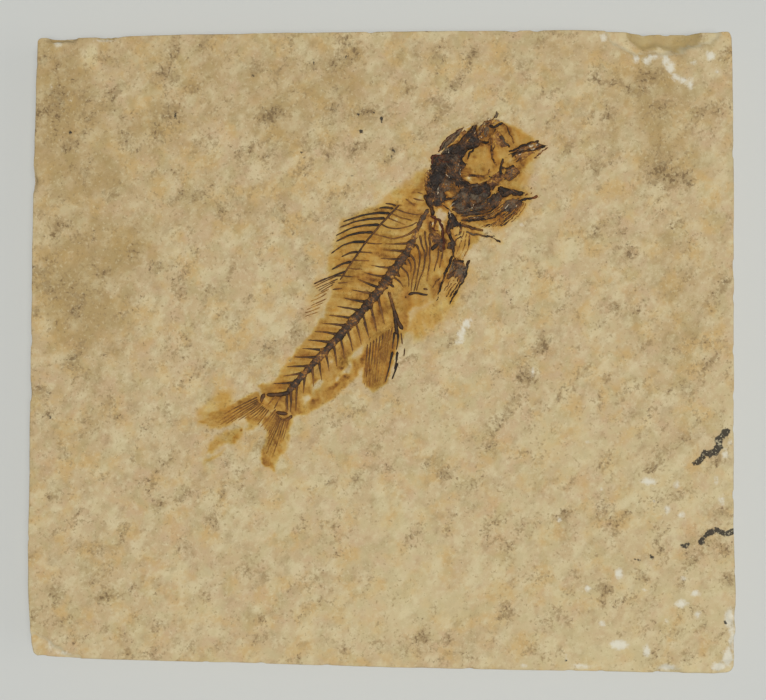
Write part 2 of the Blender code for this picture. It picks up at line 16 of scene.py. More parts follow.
import bpy
import numpy as np
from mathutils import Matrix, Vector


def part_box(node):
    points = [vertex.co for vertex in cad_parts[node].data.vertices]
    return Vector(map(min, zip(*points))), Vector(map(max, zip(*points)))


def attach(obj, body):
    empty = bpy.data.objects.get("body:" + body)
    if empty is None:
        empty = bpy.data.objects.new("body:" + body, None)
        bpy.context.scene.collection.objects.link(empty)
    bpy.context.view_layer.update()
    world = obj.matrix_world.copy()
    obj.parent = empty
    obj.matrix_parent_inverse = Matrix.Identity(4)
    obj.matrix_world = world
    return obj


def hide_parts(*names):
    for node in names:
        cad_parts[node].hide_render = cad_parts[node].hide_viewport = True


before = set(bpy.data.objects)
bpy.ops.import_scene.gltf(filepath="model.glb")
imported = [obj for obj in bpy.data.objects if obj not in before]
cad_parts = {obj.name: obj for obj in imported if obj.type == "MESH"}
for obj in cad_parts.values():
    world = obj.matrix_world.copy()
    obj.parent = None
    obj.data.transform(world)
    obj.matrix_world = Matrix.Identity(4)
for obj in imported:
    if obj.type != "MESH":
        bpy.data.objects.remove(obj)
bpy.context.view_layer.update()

MM = 0.001
print("solids:", ", ".join(sorted(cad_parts)))

# %% [markdown]
# ## Numbers that the whole lesson shares
#
# Lengths are in millimetres and MM turns them to metres at the last moment. The fish is
# easier to draw lying straight, so it has a plane of its own: u runs from the root of the tail
# to the snout and v from the backbone to the back fin. Two functions turn points from one
# plane to the other.

# %% Shared numbers
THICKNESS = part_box("slab")[1][2] / MM
FISH_ROOT = (-19.2, -8.0)
FISH_ANGLE = math.radians(51.4)
FISH_COS = math.cos(FISH_ANGLE)
FISH_SIN = math.sin(FISH_ANGLE)


def to_slab(u, v):
    """From the fish's plane to the slab's: turned by the fish's angle, then shifted."""
    x = FISH_ROOT[0] + u * FISH_COS - v * FISH_SIN
    y = FISH_ROOT[1] + u * FISH_SIN + v * FISH_COS
    return x, y


def to_fish(x, y):
    """From the slab's plane back to the fish's, the turn undone."""
    dx = x - FISH_ROOT[0]
    dy = y - FISH_ROOT[1]
    return dx * FISH_COS + dy * FISH_SIN, dy * FISH_COS - dx * FISH_SIN


print(f"the slab is {THICKNESS:.1f} mm thick")

# %% [markdown]
# ## Tools for shapes
#
# Stone has no straight lines, so most shapes here are a plain form plus a little chance. The
# tools are few: a smooth random surface, a soft step, and the distance to an outline or to a
# drawn line. Each takes whole arrays and gives one back, so a quarter of a million points
# cost no more code than one.

# %% Soft steps and smooth noise
NOISE_CELLS = 256


def soft_step(value, low, high):
    """0 below low, 1 above high, and 3t^2 - 2t^3 between, so that it starts and ends level."""
    t = np.clip((value - low) / (high - low), 0.0, 1.0)
    return t * t * (3 - 2 * t)


def noise(x, y, size, seed, octaves=1):
    """Random heights from -1 to 1 on a square lattice of this size, blended by soft curves
    6t^5 - 15t^4 + 10t^3; each further octave is half as wide and half as high."""
    table = np.random.default_rng(seed).uniform(-1, 1, (NOISE_CELLS, NOISE_CELLS))
    total = np.zeros(np.broadcast(x, y).shape)
    weight = 1.0
    for octave in range(octaves):
        grid_x = x / size + 31.7 * octave
        grid_y = y / size - 12.3 * octave
        left = np.floor(grid_x).astype(int)
        low = np.floor(grid_y).astype(int)
        tx = grid_x - left
        ty = grid_y - low
        tx = tx ** 3 * (tx * (6 * tx - 15) + 10)
        ty = ty ** 3 * (ty * (6 * ty - 15) + 10)
        left, right = left % NOISE_CELLS, (left + 1) % NOISE_CELLS
        low, high = low % NOISE_CELLS, (low + 1) % NOISE_CELLS
        bottom = table[left, low] * (1 - tx) + table[right, low] * tx
        top = table[left, high] * (1 - tx) + table[right, high] * tx
        total = total + weight * (bottom * (1 - ty) + top * ty)
        weight *= 0.5
        size *= 0.5
    return total


def warped(x, y, reach, size, seed, octaves=3):
    """The same points pushed about by chance, so that a plain outline turns ragged."""
    return (x + reach * noise(x, y, size, seed, octaves),
            y + reach * noise(x, y, size, seed + 1, octaves))


# %% Lines, outlines and distances to them
def strokes(*rows):
    """Lines through points, each written as a flat row of numbers: x, y, x, y and so on."""
    return [list(zip(row[::2], row[1::2])) for row in rows]


def shapes(*rows):
    """The same for rows that begin with a line or an outline and say more after it."""
    return [(*strokes(row[0]), *row[1:]) for row in rows]


def to_segment(x, y, start, end):
    """Distance to a straight segment and the share of the way along it of the nearest point:
    the point's projection on the segment, held between the ends."""
    way = (end[0] - start[0], end[1] - start[1])
    length = max(way[0] ** 2 + way[1] ** 2, 1e-12)
    share = np.clip(((x - start[0]) * way[0] + (y - start[1]) * way[1]) / length, 0.0, 1.0)
    gap = np.hypot(x - start[0] - share * way[0], y - start[1] - share * way[1])
    return gap, share


def to_path(x, y, path):
    """Distance to a line through several points: the least of its segments' distances."""
    gaps = [to_segment(x, y, start, end)[0] for start, end in zip(path, path[1:])]
    return np.minimum.reduce(gaps)


def inside(x, y, outline):
    """Signed distance to a closed outline in mm, positive within it: the nearest edge's
    distance, signed by how often a line to the right crosses the outline."""
    nearest = np.full(np.shape(x), np.inf)
    crossings = np.zeros(np.shape(x), dtype=int)
    for start, end in zip(outline, outline[1:] + outline[:1]):
        nearest = np.minimum(nearest, to_segment(x, y, start, end)[0])
        if start[1] != end[1]:
            across = (y >= min(start[1], end[1])) & (y < max(start[1], end[1]))
            at = start[0] + (y - start[1]) * (end[0] - start[0]) / (end[1] - start[1])
            crossings += across & (x < at)
    return np.where(crossings % 2 == 1, nearest, -nearest)


def strongest(fields):
    """The highest of several arrays at each point, and never below 0."""
    return functools.reduce(np.maximum, fields, 0.0)


def blot(x, y, centre_x, centre_y, reach_x, reach_y, turn=0.0):
    """A soft round spot: 1 in the middle and 0 past its reach, turned by so many degrees."""
    angle = math.radians(turn)
    dx = x - centre_x
    dy = y - centre_y
    along = (dx * math.cos(angle) + dy * math.sin(angle)) / reach_x
    across = (dy * math.cos(angle) - dx * math.sin(angle)) / reach_y
    return soft_step(1 - np.hypot(along, across), 0.0, 1.0)


# %% [markdown]
# ## From arrays to meshes
#
# A surface of two parameters is a grid of points, and its faces are the squares between them.
# The grid's numbers go into the mesh in one call each, which is why there is no loop over
# vertices. Colour that follows the fish is stored on the vertices, as named attributes that the
# materials read.

# %% Meshes and attributes
def grid_faces(rows, columns, start=0, closed=False):
    """Squares of a grid of points stored row by row; closed joins the last column to the
    first."""
    numbers = start + np.arange(rows * columns).reshape(rows, columns)
    if closed:
        numbers = np.concatenate([numbers, numbers[:, :1]], axis=1)
    corners = (numbers[:-1, :-1], numbers[:-1, 1:], numbers[1:, 1:], numbers[1:, :-1])
    return np.stack(corners, axis=-1).reshape(-1, 4)


def fan_faces(ring, pole):
    """Triangles from a closed ring of point numbers to one pole."""
    return np.stack([ring, np.roll(ring, -1), np.full(len(ring), pole)], axis=-1)


def make_mesh(name, points, face_groups, attributes):
    """A smooth mesh object at the origin from points in mm, arrays of faces with equal
    corners, and one number per point for each attribute."""
    mesh = bpy.data.meshes.new(name)
    corners = np.concatenate([faces.ravel() for faces in face_groups])
    sizes = np.concatenate([np.full(len(faces), faces.shape[1]) for faces in face_groups])
    starts = np.concatenate([[0], np.cumsum(sizes)[:-1]])
    mesh.vertices.add(len(points))
    mesh.vertices.foreach_set("co", (np.asarray(points) * MM).astype(np.float32).ravel())
    mesh.loops.add(len(corners))
    mesh.loops.foreach_set("vertex_index", corners.astype(np.int32))
    mesh.polygons.add(len(sizes))
    mesh.polygons.foreach_set("loop_start", starts.astype(np.int32))
    mesh.update(calc_edges=True)
    mesh.shade_smooth()
    for key, values in attributes.items():
        layer = mesh.attributes.new(key, "FLOAT", "POINT")
        layer.data.foreach_set("value", np.asarray(values, dtype=np.float32).ravel())
    piece = bpy.data.objects.new(name, mesh)
    bpy.context.scene.collection.objects.link(piece)
    triangles = int((sizes - 2).sum())
    print(f"{name}: {len(points)} points, {triangles} triangles")
    return piece


# %% [markdown]
# ## Tools for materials
#
# Every finish is a small network of nodes. One function adds a node, sets it and links it. Four
# more do what every finish here needs: lay a colour over another, make a noise that swings
# about zero or between two numbers, and give a fine grain. So a material reads as a list of
# what is laid over what. Colours are written as sRGB hex values, as a colour chart gives them,
# and turned to linear light once. A texture's scale is 1 / size in metres.

# %% One function adds a node
def srgb(code, alpha=1.0):
    """Linear red, green and blue of a hex colour: v/12.92 below 0.04045, else
    ((v + 0.055)/1.055)^2.4."""
    values = [int(code[i:i + 2], 16) / 255 for i in (1, 3, 5)]
    linear = [v / 12.92 if v <= 0.04045 else ((v + 0.055) / 1.055) ** 2.4 for v in values]
    return (*linear, alpha)


def add(tree, kind, inputs=None, **settings):
    """A node of this kind with its settings; an input's value is a constant, or an output
    socket that is linked to it."""
    node = tree.nodes.new("ShaderNode" + kind)
    for key, value in settings.items():
        setattr(node, key, value)
    for key, value in (inputs or {}).items():
        socket = node.inputs[key]
        if isinstance(value, bpy.types.NodeSocket):
            tree.links.new(value, socket)
        else:
            socket.default_value = value
    return node


def start_material(name, constants):
    """A material with its Principled shader, whose sockets get these constants, and the
    object's own coordinates, which every pattern here is laid out in."""
    material = bpy.data.materials.new(name)
    material.use_nodes = True
    tree = material.node_tree
    tree.nodes.clear()
    shader = add(tree, "BsdfPrincipled", constants)
    add(tree, "OutputMaterial", {"Surface": shader.outputs[0]})
    return material, tree, shader, add(tree, "TexCoord").outputs["Object"]


# %% Steps that every finish is made of
NOISE_LOW = 0.3  # nearly all of a noise texture lies between these two
NOISE_HIGH = 0.7


def lay(tree, under, over, value, low, high, most):
    """A colour laid over another: the share that shows climbs from 0 to most by a smooth step
    while the value goes from low to high."""
    mask = add(tree, "MapRange", {"Value": value, "From Min": low, "From Max": high,
                                  "To Max": most}, interpolation_type="SMOOTHSTEP")
    return add(tree, "Mix", {"Factor": mask.outputs[0], 6: under, 7: srgb(over)},
               data_type="RGBA").outputs[2]


def swing(tree, where, size, detail, rough, reach, chance=None):
    """(noise - 1/2) * reach, with blobs so many mm apart; a chance number gives another noise
    of the same kind."""
    inputs = {"Vector": where, "Scale": 1 / (size * MM), "Detail": detail, "Roughness": rough}
    if chance is None:
        blobs = add(tree, "TexNoise", inputs)
    else:
        blobs = add(tree, "TexNoise", inputs | {"W": chance}, noise_dimensions="4D")
    return add(tree, "Math", {0: blobs.outputs[0], 1: reach, 2: -reach / 2},
               operation="MULTIPLY_ADD").outputs[0]


def vary(tree, where, size, detail, rough, low, high):
    """A number that noise moves between low and high, with blobs so many mm apart."""
    blobs = add(tree, "TexNoise", {"Vector": where, "Scale": 1 / (size * MM), "Detail": detail,
                                   "Roughness": rough})
    return add(tree, "MapRange", {"Value": blobs.outputs[0], "From Min": NOISE_LOW,
                                  "From Max": NOISE_HIGH, "To Min": low,
                                  "To Max": high}).outputs[0]


def grain(tree, shader, where, size, detail, rough, depth, strength):
    """A fine relief in the shader's normal: noise with grains so many mm wide and deep."""
    grains = add(tree, "TexNoise", {"Vector": where, "Scale": 1 / (size * MM),
                                    "Detail": detail, "Roughness": rough})
    bump = add(tree, "Bump", {"Height": grains.outputs[0], "Distance": depth * MM,
                              "Strength": strength})
    tree.links.new(bump.outputs[0], shader.inputs["Normal"])


# %% [markdown]
# ## Camera
#
# A flat fossil is looked at, and drawn, from straight above. The lens is a long one, so the
# slab's walls stay out of sight and its outline is nearly undistorted. The distance follows
# from the width of slab and floor that the view takes in.

# %% Camera
FRAME_WIDTH_PIXELS = 766
PIXELS_PER_MM = 5.0
VIEW_CENTRE = (0.2, 0.36)
LENS = 85.0
SENSOR = 36.0


def place_camera():
    """A camera looking straight down: distance = seen width * lens / sensor width."""
    data = bpy.data.cameras.new("camera")
    data.lens = LENS
    data.sensor_width = SENSOR
    data.clip_start = 0.01
    camera = bpy.data.objects.new("camera", data)
    distance = FRAME_WIDTH_PIXELS / PIXELS_PER_MM * LENS / SENSOR
    camera.location = (VIEW_CENTRE[0] * MM, VIEW_CENTRE[1] * MM, (THICKNESS + distance) * MM)
    bpy.context.scene.collection.objects.link(camera)
    bpy.context.scene.camera = camera
    print(f"the camera is {distance:.0f} mm above the face of the slab")


place_camera()

# %% [markdown]
# ## Light
#
# A specimen is best seen in soft, nearly shadowless light: a broad overhead panel, a window's
# weaker light from the right, and a pale room that fills what is left. A lamp's size against
# its distance sets how soft its shadows are. The room is only an even world colour.

# %% Soft light
ROOM_COLOUR = "#F1F5F6"
ROOM_STRENGTH = 0.14
# Each lamp: its place and side in metres, its power in watts, and its colour
LAMPS = {
    "panel": ((0.06, -0.03, 1.25), 0.35, 12.85, "#FFFEFC"),
    "window": ((1.00, -0.10, 1.10), 0.80, 1.6, "#FFFBF5"),
}


def light_room():
    """Square lamps aimed at the slab, and an even fill from the world."""
    for name, (place, side, power, colour) in LAMPS.items():
        lamp = bpy.data.lights.new(name, "AREA")
        lamp.size = side
        lamp.energy = power
        lamp.color = srgb(colour)[:3]
        holder = bpy.data.objects.new(name, lamp)
        holder.location = place
        fall = math.atan2(math.hypot(place[0], place[1]), place[2])
        holder.rotation_euler = (0.0, fall, math.atan2(place[1], place[0]))
        bpy.context.scene.collection.objects.link(holder)
    world = bpy.data.worlds.new("room")
    world.use_nodes = True
    background = world.node_tree.nodes["Background"]
    background.inputs["Color"].default_value = srgb(ROOM_COLOUR)
    background.inputs["Strength"].default_value = ROOM_STRENGTH
    bpy.context.scene.world = world
    bpy.context.scene.view_settings.view_transform = "Standard"


light_room()

# %% [markdown]
# ## The floor
#
# A sheet of matt paper. It isn't part of the object.

# %% Floor
FLOOR_COLOUR = "#CACCC9"
FLOOR_SIDE = 3000.0
FLOOR_HEIGHT = -0.02
PAPER_ROUGHNESS = 0.9


def paper():
    """Matt uncoated paper: even, with a faint tooth from its pressed fibres."""
    material, tree, shader, metres = start_material("matt_paper", {
        "Base Color": srgb(FLOOR_COLOUR), "Roughness": PAPER_ROUGHNESS})
    grain(tree, shader, metres, 0.4, 2, 0.5, 0.02, 0.2)
    return material


def lay_floor():
    """One square under the slab, a hair below it so that no two faces coincide."""
    half = FLOOR_SIDE / 2
    corners = np.array([(-half, -half), (half, -half), (half, half), (-half, half)])
    points = np.column_stack([corners, np.full(4, FLOOR_HEIGHT)])
    floor = make_mesh("floor", points, [np.array([[0, 1, 2, 3]])], {})
    floor.data.materials.append(paper())


lay_floor()

# %% [markdown]
# ## The slab's outline
#
# The slab was sawn or snapped to a rough square, so its sides are nearly straight, each with a
# slight lean, and its corners are worn. Each side is a short list of points, and chance adds
# the small waver and nicks of a broken edge.

# %% Outline
SIDES = {
    "bottom": ((-69.5, -60.6), (-68.9, -61), (-50, -61.7), (-33.4, -62.1), (0.2, -63.1),
               (34.4, -63.8), (69.4, -64.4), (70.1, -64)),
    "right": ((70.1, -64), (70.6, -63.3), (70.8, -48.4), (70.4, -36), (70.4, 41),
              (70, 63.3), (69.7, 63.8)),
    "top": ((69.7, 63.8), (69.3, 64.1), (54, 63.9), (40.8, 64.4), (0.2, 64.1),
            (-39.8, 63.5), (-60.8, 62.8), (-68.1, 62.8), (-68.6, 62.6)),
    "left": ((-68.6, 62.6), (-68.9, 62.2), (-69.3, 50.8), (-69.8, 33), (-70.3, 0.4),
             (-70.9, -46.6), (-70.3, -58.2), (-69.9, -60.2), (-69.5, -60.6)),
}
ACROSS = 262  # squares of the top from left to right
UP = 238  # and from bottom to top
EDGE_WAVER = 0.05
EDGE_NICK = 0.22
CORNER_SMOOTHING = 4
RIM_RADIUS = 0.26
RIM_CHANGE = 0.14


def even_steps(points, count):
    """Count points at even steps of length along a line through the points, ends included."""
    points = np.array(points)
    lengths = np.concatenate([[0], np.cumsum(np.linalg.norm(np.diff(points, axis=0), axis=1))])
    steps = np.linspace(0, lengths[-1], count)
    return np.column_stack([np.interp(steps, lengths, column) for column in points.T])


def roll_mean(values, reach):
    """The mean of each value of a closed row and its neighbours up to reach away."""
    return sum(np.roll(values, k, axis=0) for k in range(-reach, reach + 1)) / (2 * reach + 1)


def walk_outline():
    """The outline anticlockwise from the bottom left corner: points, outward directions (the
    way along, turned a quarter right) and the length walked so far."""
    counts = {"bottom": ACROSS, "right": UP, "top": ACROSS, "left": UP}
    sides = [even_steps(SIDES[name], counts[name] + 1)[:-1] for name in counts]
    points = np.concatenate(sides)
    ahead = np.roll(points, -1, axis=0) - np.roll(points, 1, axis=0)
    outward = roll_mean(np.column_stack([ahead[:, 1], -ahead[:, 0]]), CORNER_SMOOTHING)
    outward /= np.linalg.norm(outward, axis=1)[:, None]
    walked = np.cumsum(np.linalg.norm(np.diff(points, axis=0, prepend=points[-1:]), axis=1))
    waver = EDGE_WAVER * noise(points[:, 0], points[:, 1], 5.0, 11, 3)
    nicks = EDGE_NICK * soft_step(noise(points[:, 0], points[:, 1], 2.2, 12), 0.45, 0.95)
    return points + outward * (waver - nicks)[:, None], outward, walked


outline, outward, walked = walk_outline()
print(f"the outline is {walked[-1]:.0f} mm round, in {len(outline)} points")

# %% [markdown]
# ## The relief of the split face
#
# A bedding plane is nearly flat: it swells by a tenth of a millimetre over a few centimetres and
# is finely granular. What breaks it are the chips of its history: two scoops and a thin ledge
# at the top edge, nibbled corners, and small bruises. Each chip is a shallow dish and each
# ledge a thin flake whose outline is known. Whatever is deepest at a point wins.

# %% Relief
# Each chip: its middle and its reach across and up in mm, then its depth
CHIPS = {
    "scoop_left": (53.4, 64.9, 4.4, 4.5, 3),
    "scoop_right": (59.2, 65, 4.7, 5.3, 3.6),
    "top_left_corner": (-63.6, 63.6, 3.6, 2, 3.2),
    "top_left_edge": (-56, 64, 3.4, 1.6, 3),
    "left_edge": (-70.5, 34.5, 1.3, 3.6, 2.4),
    "right_edge_high": (71.3, -53.2, 2.5, 1.9, 1.3),
    "right_edge_low": (71.4, -58.6, 2.1, 3.2, 1.4),
    "bottom_right_corner": (70.8, -64.2, 3.9, 2.9, 1.3),
    "bottom_edge": (57.2, -65, 3.4, 2.2, 1.2),
    "bruise_low": (47.4, -58.5, 2.3, 1.2, 0.4),
    "bruise_right": (60, -50.4, 1.5, 0.9, 0.35),
    "bruise_middle": (30.1, -4.1, 1, 1.4, 0.35),
    "bruise_by_fish": (16.2, 4.3, 1.1, 2.2, 0.3),
}
# Each flake: its depth, then its outline
FLAKES = {
    "ledge_top": (0.9, [(44.3, 66), (45.2, 63.6), (46.6, 61.6), (48.2, 60.4), (51.2, 59.4),
                        (55, 59.6), (57.4, 59), (60.4, 59.6), (62.6, 61.2), (65.2, 61.4),
                        (67.6, 63), (68.2, 66)]),
    "ledge_corner": (0.6, [(-73, -55.8), (-68, -56.6), (-66.3, -57.7), (-65.2, -59.2),
                           (-63.4, -60.3), (-60.5, -60.9), (-59.5, -64), (-73, -64)]),
}
# Swell, ripple and grain: height and width in mm, seed and octaves of the noise
UNEVEN = ((0.07, 34.0, 21, 2), (0.03, 6.0, 22, 2), (0.018, 1.3, 23, 2))
CHIP_WARP = 0.45  # mm that chance pushes the rims about, in waves this long:
CHIP_WAVE = 1.7
BREAK_WIDTH = 0.22
FLAKE_UNEVEN = 0.25


def from_middle(x, y, centre_x, centre_y, reach_x, reach_y):
    """(dx / reach)^2 + (dy / reach)^2: 0 in the middle of an oval and 1 on its rim."""
    return ((x - centre_x) / reach_x) ** 2 + ((y - centre_y) / reach_y) ** 2


def face_relief(x, y):
    """Height above the plane of the face in mm: swell, ripple and grain, less the deepest of
    the chips (a dish of depth times the root of 1 - r^2) and of the flakes."""
    height = sum(high * noise(x, y, *rest) for high, *rest in UNEVEN)
    wx, wy = warped(x, y, CHIP_WARP, CHIP_WAVE, 24)
    uneven = 1 + FLAKE_UNEVEN * noise(x, y, 2.5, 26, 2)
    flakes = strongest(
        depth * soft_step(inside(wx, wy, shape), -BREAK_WIDTH / 2, BREAK_WIDTH) * uneven
        for depth, shape in FLAKES.values())
    dishes = strongest(depth * np.sqrt(np.clip(1 - from_middle(wx, wy, *oval), 0, 1))
                       for *oval, depth in CHIPS.values())
    return height - np.maximum(flakes, dishes)


# %% [markdown]
# ## Where the fish's film lies
#
# The stone under the fish is a sheet of its own with finer squares, so the amber film can
# have crisp edges. The slab's coarse top dips a little under it and the sheet's border dives
# into the slab, so from outside the two are one face.

# %% The two overlapping faces
FILM_U = (-26.0, 76.5)
FILM_V = (-20.5, 17.5)
FILM_STEP = 0.22
TRAY_DEPTH = 0.2
TRAY_RIM = (4.5, 6.0)  # mm inside the sheet's border where the tray starts and is full
# Distance from the sheet's border, and how far the sheet stands over the relief there
FILM_PROUD = ((0.0, 1.0, 2.0, 4.0), (-0.5, -0.06, -0.02, 0.02))


def film_border(u, v):
    """Distance inwards from the nearest side of the sheet of film, negative outside it."""
    across = np.minimum(u - FILM_U[0], FILM_U[1] - u)
    up = np.minimum(v - FILM_V[0], FILM_V[1] - v)
    return np.minimum(across, up)


def slab_height(x, y):
    """The slab's coarse top: the relief, dipped where the finer sheet covers it."""
    tray = TRAY_DEPTH * soft_step(film_border(*to_fish(x, y)), *TRAY_RIM)
    return THICKNESS + face_relief(x, y) - tray


def film_height(x, y, border):
    """The finer sheet: a hair above the relief, and diving below it over its last 4 mm."""
    return THICKNESS + face_relief(x, y) + np.interp(border, *FILM_PROUD)


# %% [markdown]
# ## Where the stone is darker, paler or marked
#
# A lake bed isn't even: clouds of tone a centimetre or two across lie over the whole face.
# On top of them, the colour is made darker towards the top left. Brown specks gather in
# smudges of a few millimetres.
# Bruises show as chalky white, since crushed limestone scatters light. Manganese left two
# black crusts at the right edge, and single grains of it elsewhere. The places of the marks
# are given one by one and the grain inside them comes from the material. Each list becomes one
# number per vertex.

# %% Clouds of tone
# Each cloud: its middle, its reach across and up, a turn in degrees where it has one, and how
# much lighter (+) or darker (-) it is
CLOUDS = (
    (-64, 51, 11, 19, -1), (-46, 47, 8, 10, -40, -0.7), (-57, 36, 12, 9, 20, -0.7),
    (-49, 22, 11, 9, -0.7), (-62, 12, 11, 13, -0.85), (-58, 12, 15, 26, -0.75),
    (60, 8, 13, 30, -0.85), (56, 46, 14, 16, -0.75), (-18, 50, 16, 12, -0.5),
    (-59, -14, 9, 9, -0.4), (-44, -22, 10, 6, 30, -0.3), (-57, -45, 9, 13, -0.35),
    (-36, 57, 8, 8, -0.35), (-21, 47, 7, 5, -0.35), (-6, 51, 9, 13, -0.55), (30, -3, 9, 9, -0.35),
    (45, 48, 9, 10, -0.5), (53, 54, 9, 7, -0.6), (57, 38, 8, 13, -0.6), (39, 59, 9, 6, -0.35),
    (65, -18, 8, 9, -0.4), (65, -37, 9, 8, -0.6), (43, -32, 8, 8, -0.4), (22, -19, 7, 5, 30, -0.3),
    (10, -24, 7, 5, -0.35), (-14, -45, 9, 8, -0.3), (16, -57, 11, 6, -0.4), (64, -58, 10, 8, -0.35),
    (-31, 30, 12, 12, -0.25), (67, 50, 6, 8, -0.4), (48, 20, 8, 4, -0.25), (-64, -57, 8, 6, -0.3),
    (37, 6, 7, 7, -0.2), (-33, -4, 7, 6, -0.2), (-51, 52, 6, 6, 0.5), (-57.4, 59.4, 3.4, 2.4, 1.7),
    (46.6, 61.8, 3.6, 1.7, -40, 1.3), (66.8, 61.6, 3.6, 1.5, 40, 1.1), (-22, 14, 10, 14, 0.5),
    (-37, 17, 8, 9, 0.25), (-44, -5, 10, 7, 0.3), (3, -32, 13, 13, 0.45), (7, -48, 18, 12, 0.5),
    (34, -18, 10, 9, 0.5), (40, 18, 12, 8, 0.3), (53, -26, 9, 8, 0.35), (-4, -54, 12, 8, 0.35),
    (46, -60, 11, 7, 0.45), (13, -14, 12, 9, 0.35), (-39, -53, 12, 8, 0.3), (-60, -33, 12, 8, 0.3),
    (-31, 43, 10, 9, 0.25), (12, 54, 10, 6, 0.25), (27, 20, 9, 9, 0.3), (18, 3, 8, 9, 0.4),
    (62, -50, 9, 6, 0.3), (-20, -30, 12, 10, 0.3), (56, 14, 10, 9, 0.15), (-1, 36, 9, 7, 40, 0.35),
    (30, 40, 6, 10, 0.25), (-52, 10, 7, 7, 0.2),
)
# The whole face darkens by this much per millimetre to the left and upwards
TILT_LEFT = 0.0035
TILT_UP = 0.0055
CLOUD_WARP = 2.2
CLOUD_WAVE = 7.0


def cloud_tone(x, y):
    """The sum of the soft clouds and of an even slope of tone."""
    tone = TILT_LEFT * x - TILT_UP * y
    wx, wy = warped(x, y, CLOUD_WARP, CLOUD_WAVE, 31, 2)
    for *oval, amount in CLOUDS:
        tone = tone + amount * blot(wx, wy, *oval)
    return tone


# %% Smudges of brown specks
# Each smudge, in the same way: middle, reach, turn in degrees where it has one, strength
SMUDGES = (
    (-22.4, 47.2, 4.6, 3.2, 0.9), (-42, 48, 3, 5, -20, 0.8), (-45, 43, 3, 5, 0.9),
    (-51.5, 42, 3, 3.4, 0.8), (-53.5, 58, 2.4, 2.6, 0.8), (-59, 51, 5, 3, 0.7),
    (-66, 48, 5, 5, 0.6), (-66, 43, 4, 4, 0.6), (-50, 20.5, 2.4, 2.6, 0.7),
    (-45.5, 16.5, 2.2, 2.6, 0.7), (-62, 13, 5, 6, 0.5), (-66.5, -13, 2.4, 2.4, 0.9),
    (-63, -22, 2.6, 2, 0.5), (-57, -39, 3.6, 2.2, 0.7), (-57, -49.5, 2, 2, 0.6),
    (-63, -57.5, 5, 3, 0.6), (-51.5, -57, 2.4, 4, 0.7), (-48, -26.5, 1.8, 2.4, 0.7),
    (-44, -31, 2, 2, 0.6), (-43.5, -22, 2.6, 2, 0.6), (-37, -29, 2.4, 1.8, 0.8),
    (-12, -34.5, 2, 1.8, 0.9), (13, -36, 1.8, 3.2, -30, 0.8), (24.5, -38.5, 2, 2, 0.6),
    (12, -24.5, 4.2, 2.2, 0.9), (9.5, -21.5, 1.6, 2.8, 0.8), (22, -18.5, 5, 2.2, 40, 0.8),
    (24.5, -27.5, 3, 2, 0.7), (30, -12.5, 2.6, 2.2, 30, 0.7), (29.5, -5.5, 4.2, 2.4, 0.9),
    (32, 1, 2, 2.4, 0.8), (36, -8.5, 2.4, 2, 0.6), (43.5, -9, 2.4, 2.4, 0.6),
    (39, 7, 1.8, 2.4, 0.8), (47, 9, 1.6, 1.6, 0.6), (59, 12, 1.8, 1.8, 0.6),
    (30.8, 21, 2.4, 2.4, 0.7), (31.8, 15.5, 2.8, 2.4, 0.9), (48, 20.5, 5.6, 2, 0.8),
    (62, 22, 2, 2.6, 0.7), (60.5, -6.5, 1.8, 2.2, 0.7), (66, -2.5, 1.8, 1.8, 0.6),
    (56, 36, 6.5, 9, 0.7), (45.5, 47.5, 2.8, 5, 10, 0.8), (41, 47, 2.2, 3.4, 0.7),
    (67.5, 48.5, 3.6, 3.4, 30, 0.9), (68.5, 59, 1.8, 4, 0.6), (54.5, 55.4, 4.4, 2.6, 1),
    (52.5, 52.2, 3.4, 2.2, 30, 0.8), (43.5, 57, 2.4, 2.6, 0.6), (17, 59, 3, 2.6, 0.8),
    (-6.4, 58.5, 4, 3, 0.8), (-14, 57.5, 2.4, 2, 0.8), (-9.5, 52.2, 2.2, 2.4, 0.8),
    (8, 58, 2.4, 2, 0.6), (-35, 61, 3, 2.4, 0.7), (-2.5, 47.2, 4, 2.2, 0.7),
    (43.6, -22.5, 2.6, 4.2, -20, 0.9), (36.7, -32.1, 3.2, 2.4, 30, 1), (44.3, -32.3, 5, 6, 0.8),
    (54, -23, 3.4, 2, 20, 0.7), (59.5, -29, 2.8, 2, 40, 0.7), (67.7, -32.5, 3, 2.6, 1),
    (67, -38.3, 6, 5, 0.8), (52, -45, 3.6, 2.6, -30, 1), (44.2, -47.4, 4, 2.4, -30, 1),
    (44, -49.8, 1.8, 3.4, 1), (38.5, -44.5, 3, 3, 0.7), (37.5, -48.2, 2.4, 1.6, 0.7),
    (69.4, -45, 2.4, 2.6, 0.9), (66.4, -41.2, 3, 2, 0.7), (59.5, -52.5, 3.4, 3.4, 0.7),
    (58.9, -56, 2.4, 2.6, -45, 0.9), (63.6, -55, 2.8, 2, 20, 0.8), (48, -56.5, 3.4, 1.8, 0.7),
    (50.4, -54.2, 2.2, 2.2, 0.6), (57.3, -61.6, 2.4, 1.6, 0.8), (34.6, -52.5, 2, 2.4, 0.8),
    (30, -44.5, 3.6, 5, 0.6), (24, -49.5, 2.4, 1.8, 0.7), (30, -59.3, 3.2, 2.8, 0.8),
    (17, -60.5, 4, 2.6, 0.7), (7.5, -56.8, 3, 2.6, 0.7), (-1, -58.5, 4, 2.4, 0.8),
    (-22.9, 0.4, 3.4, 2.6, 50, 1.1), (-13.5, -46, 4, 4, 0.5), (-31, 31, 4, 3, 0.4),
    (-30, 5, 2.4, 2, 0.5), (-36, -3, 2.2, 2.4, 0.6), (25, 48, 2.4, 1.6, 0.5),
)
SMUDGE_DEPTH = 0.75


def smudge_strength(x, y):
    """The strongest smudge at each point."""
    wx, wy = warped(x, y, CHIP_WARP, CHIP_WAVE, 34)
    return SMUDGE_DEPTH * strongest(amount * blot(wx, wy, *oval) for *oval, amount in SMUDGES)


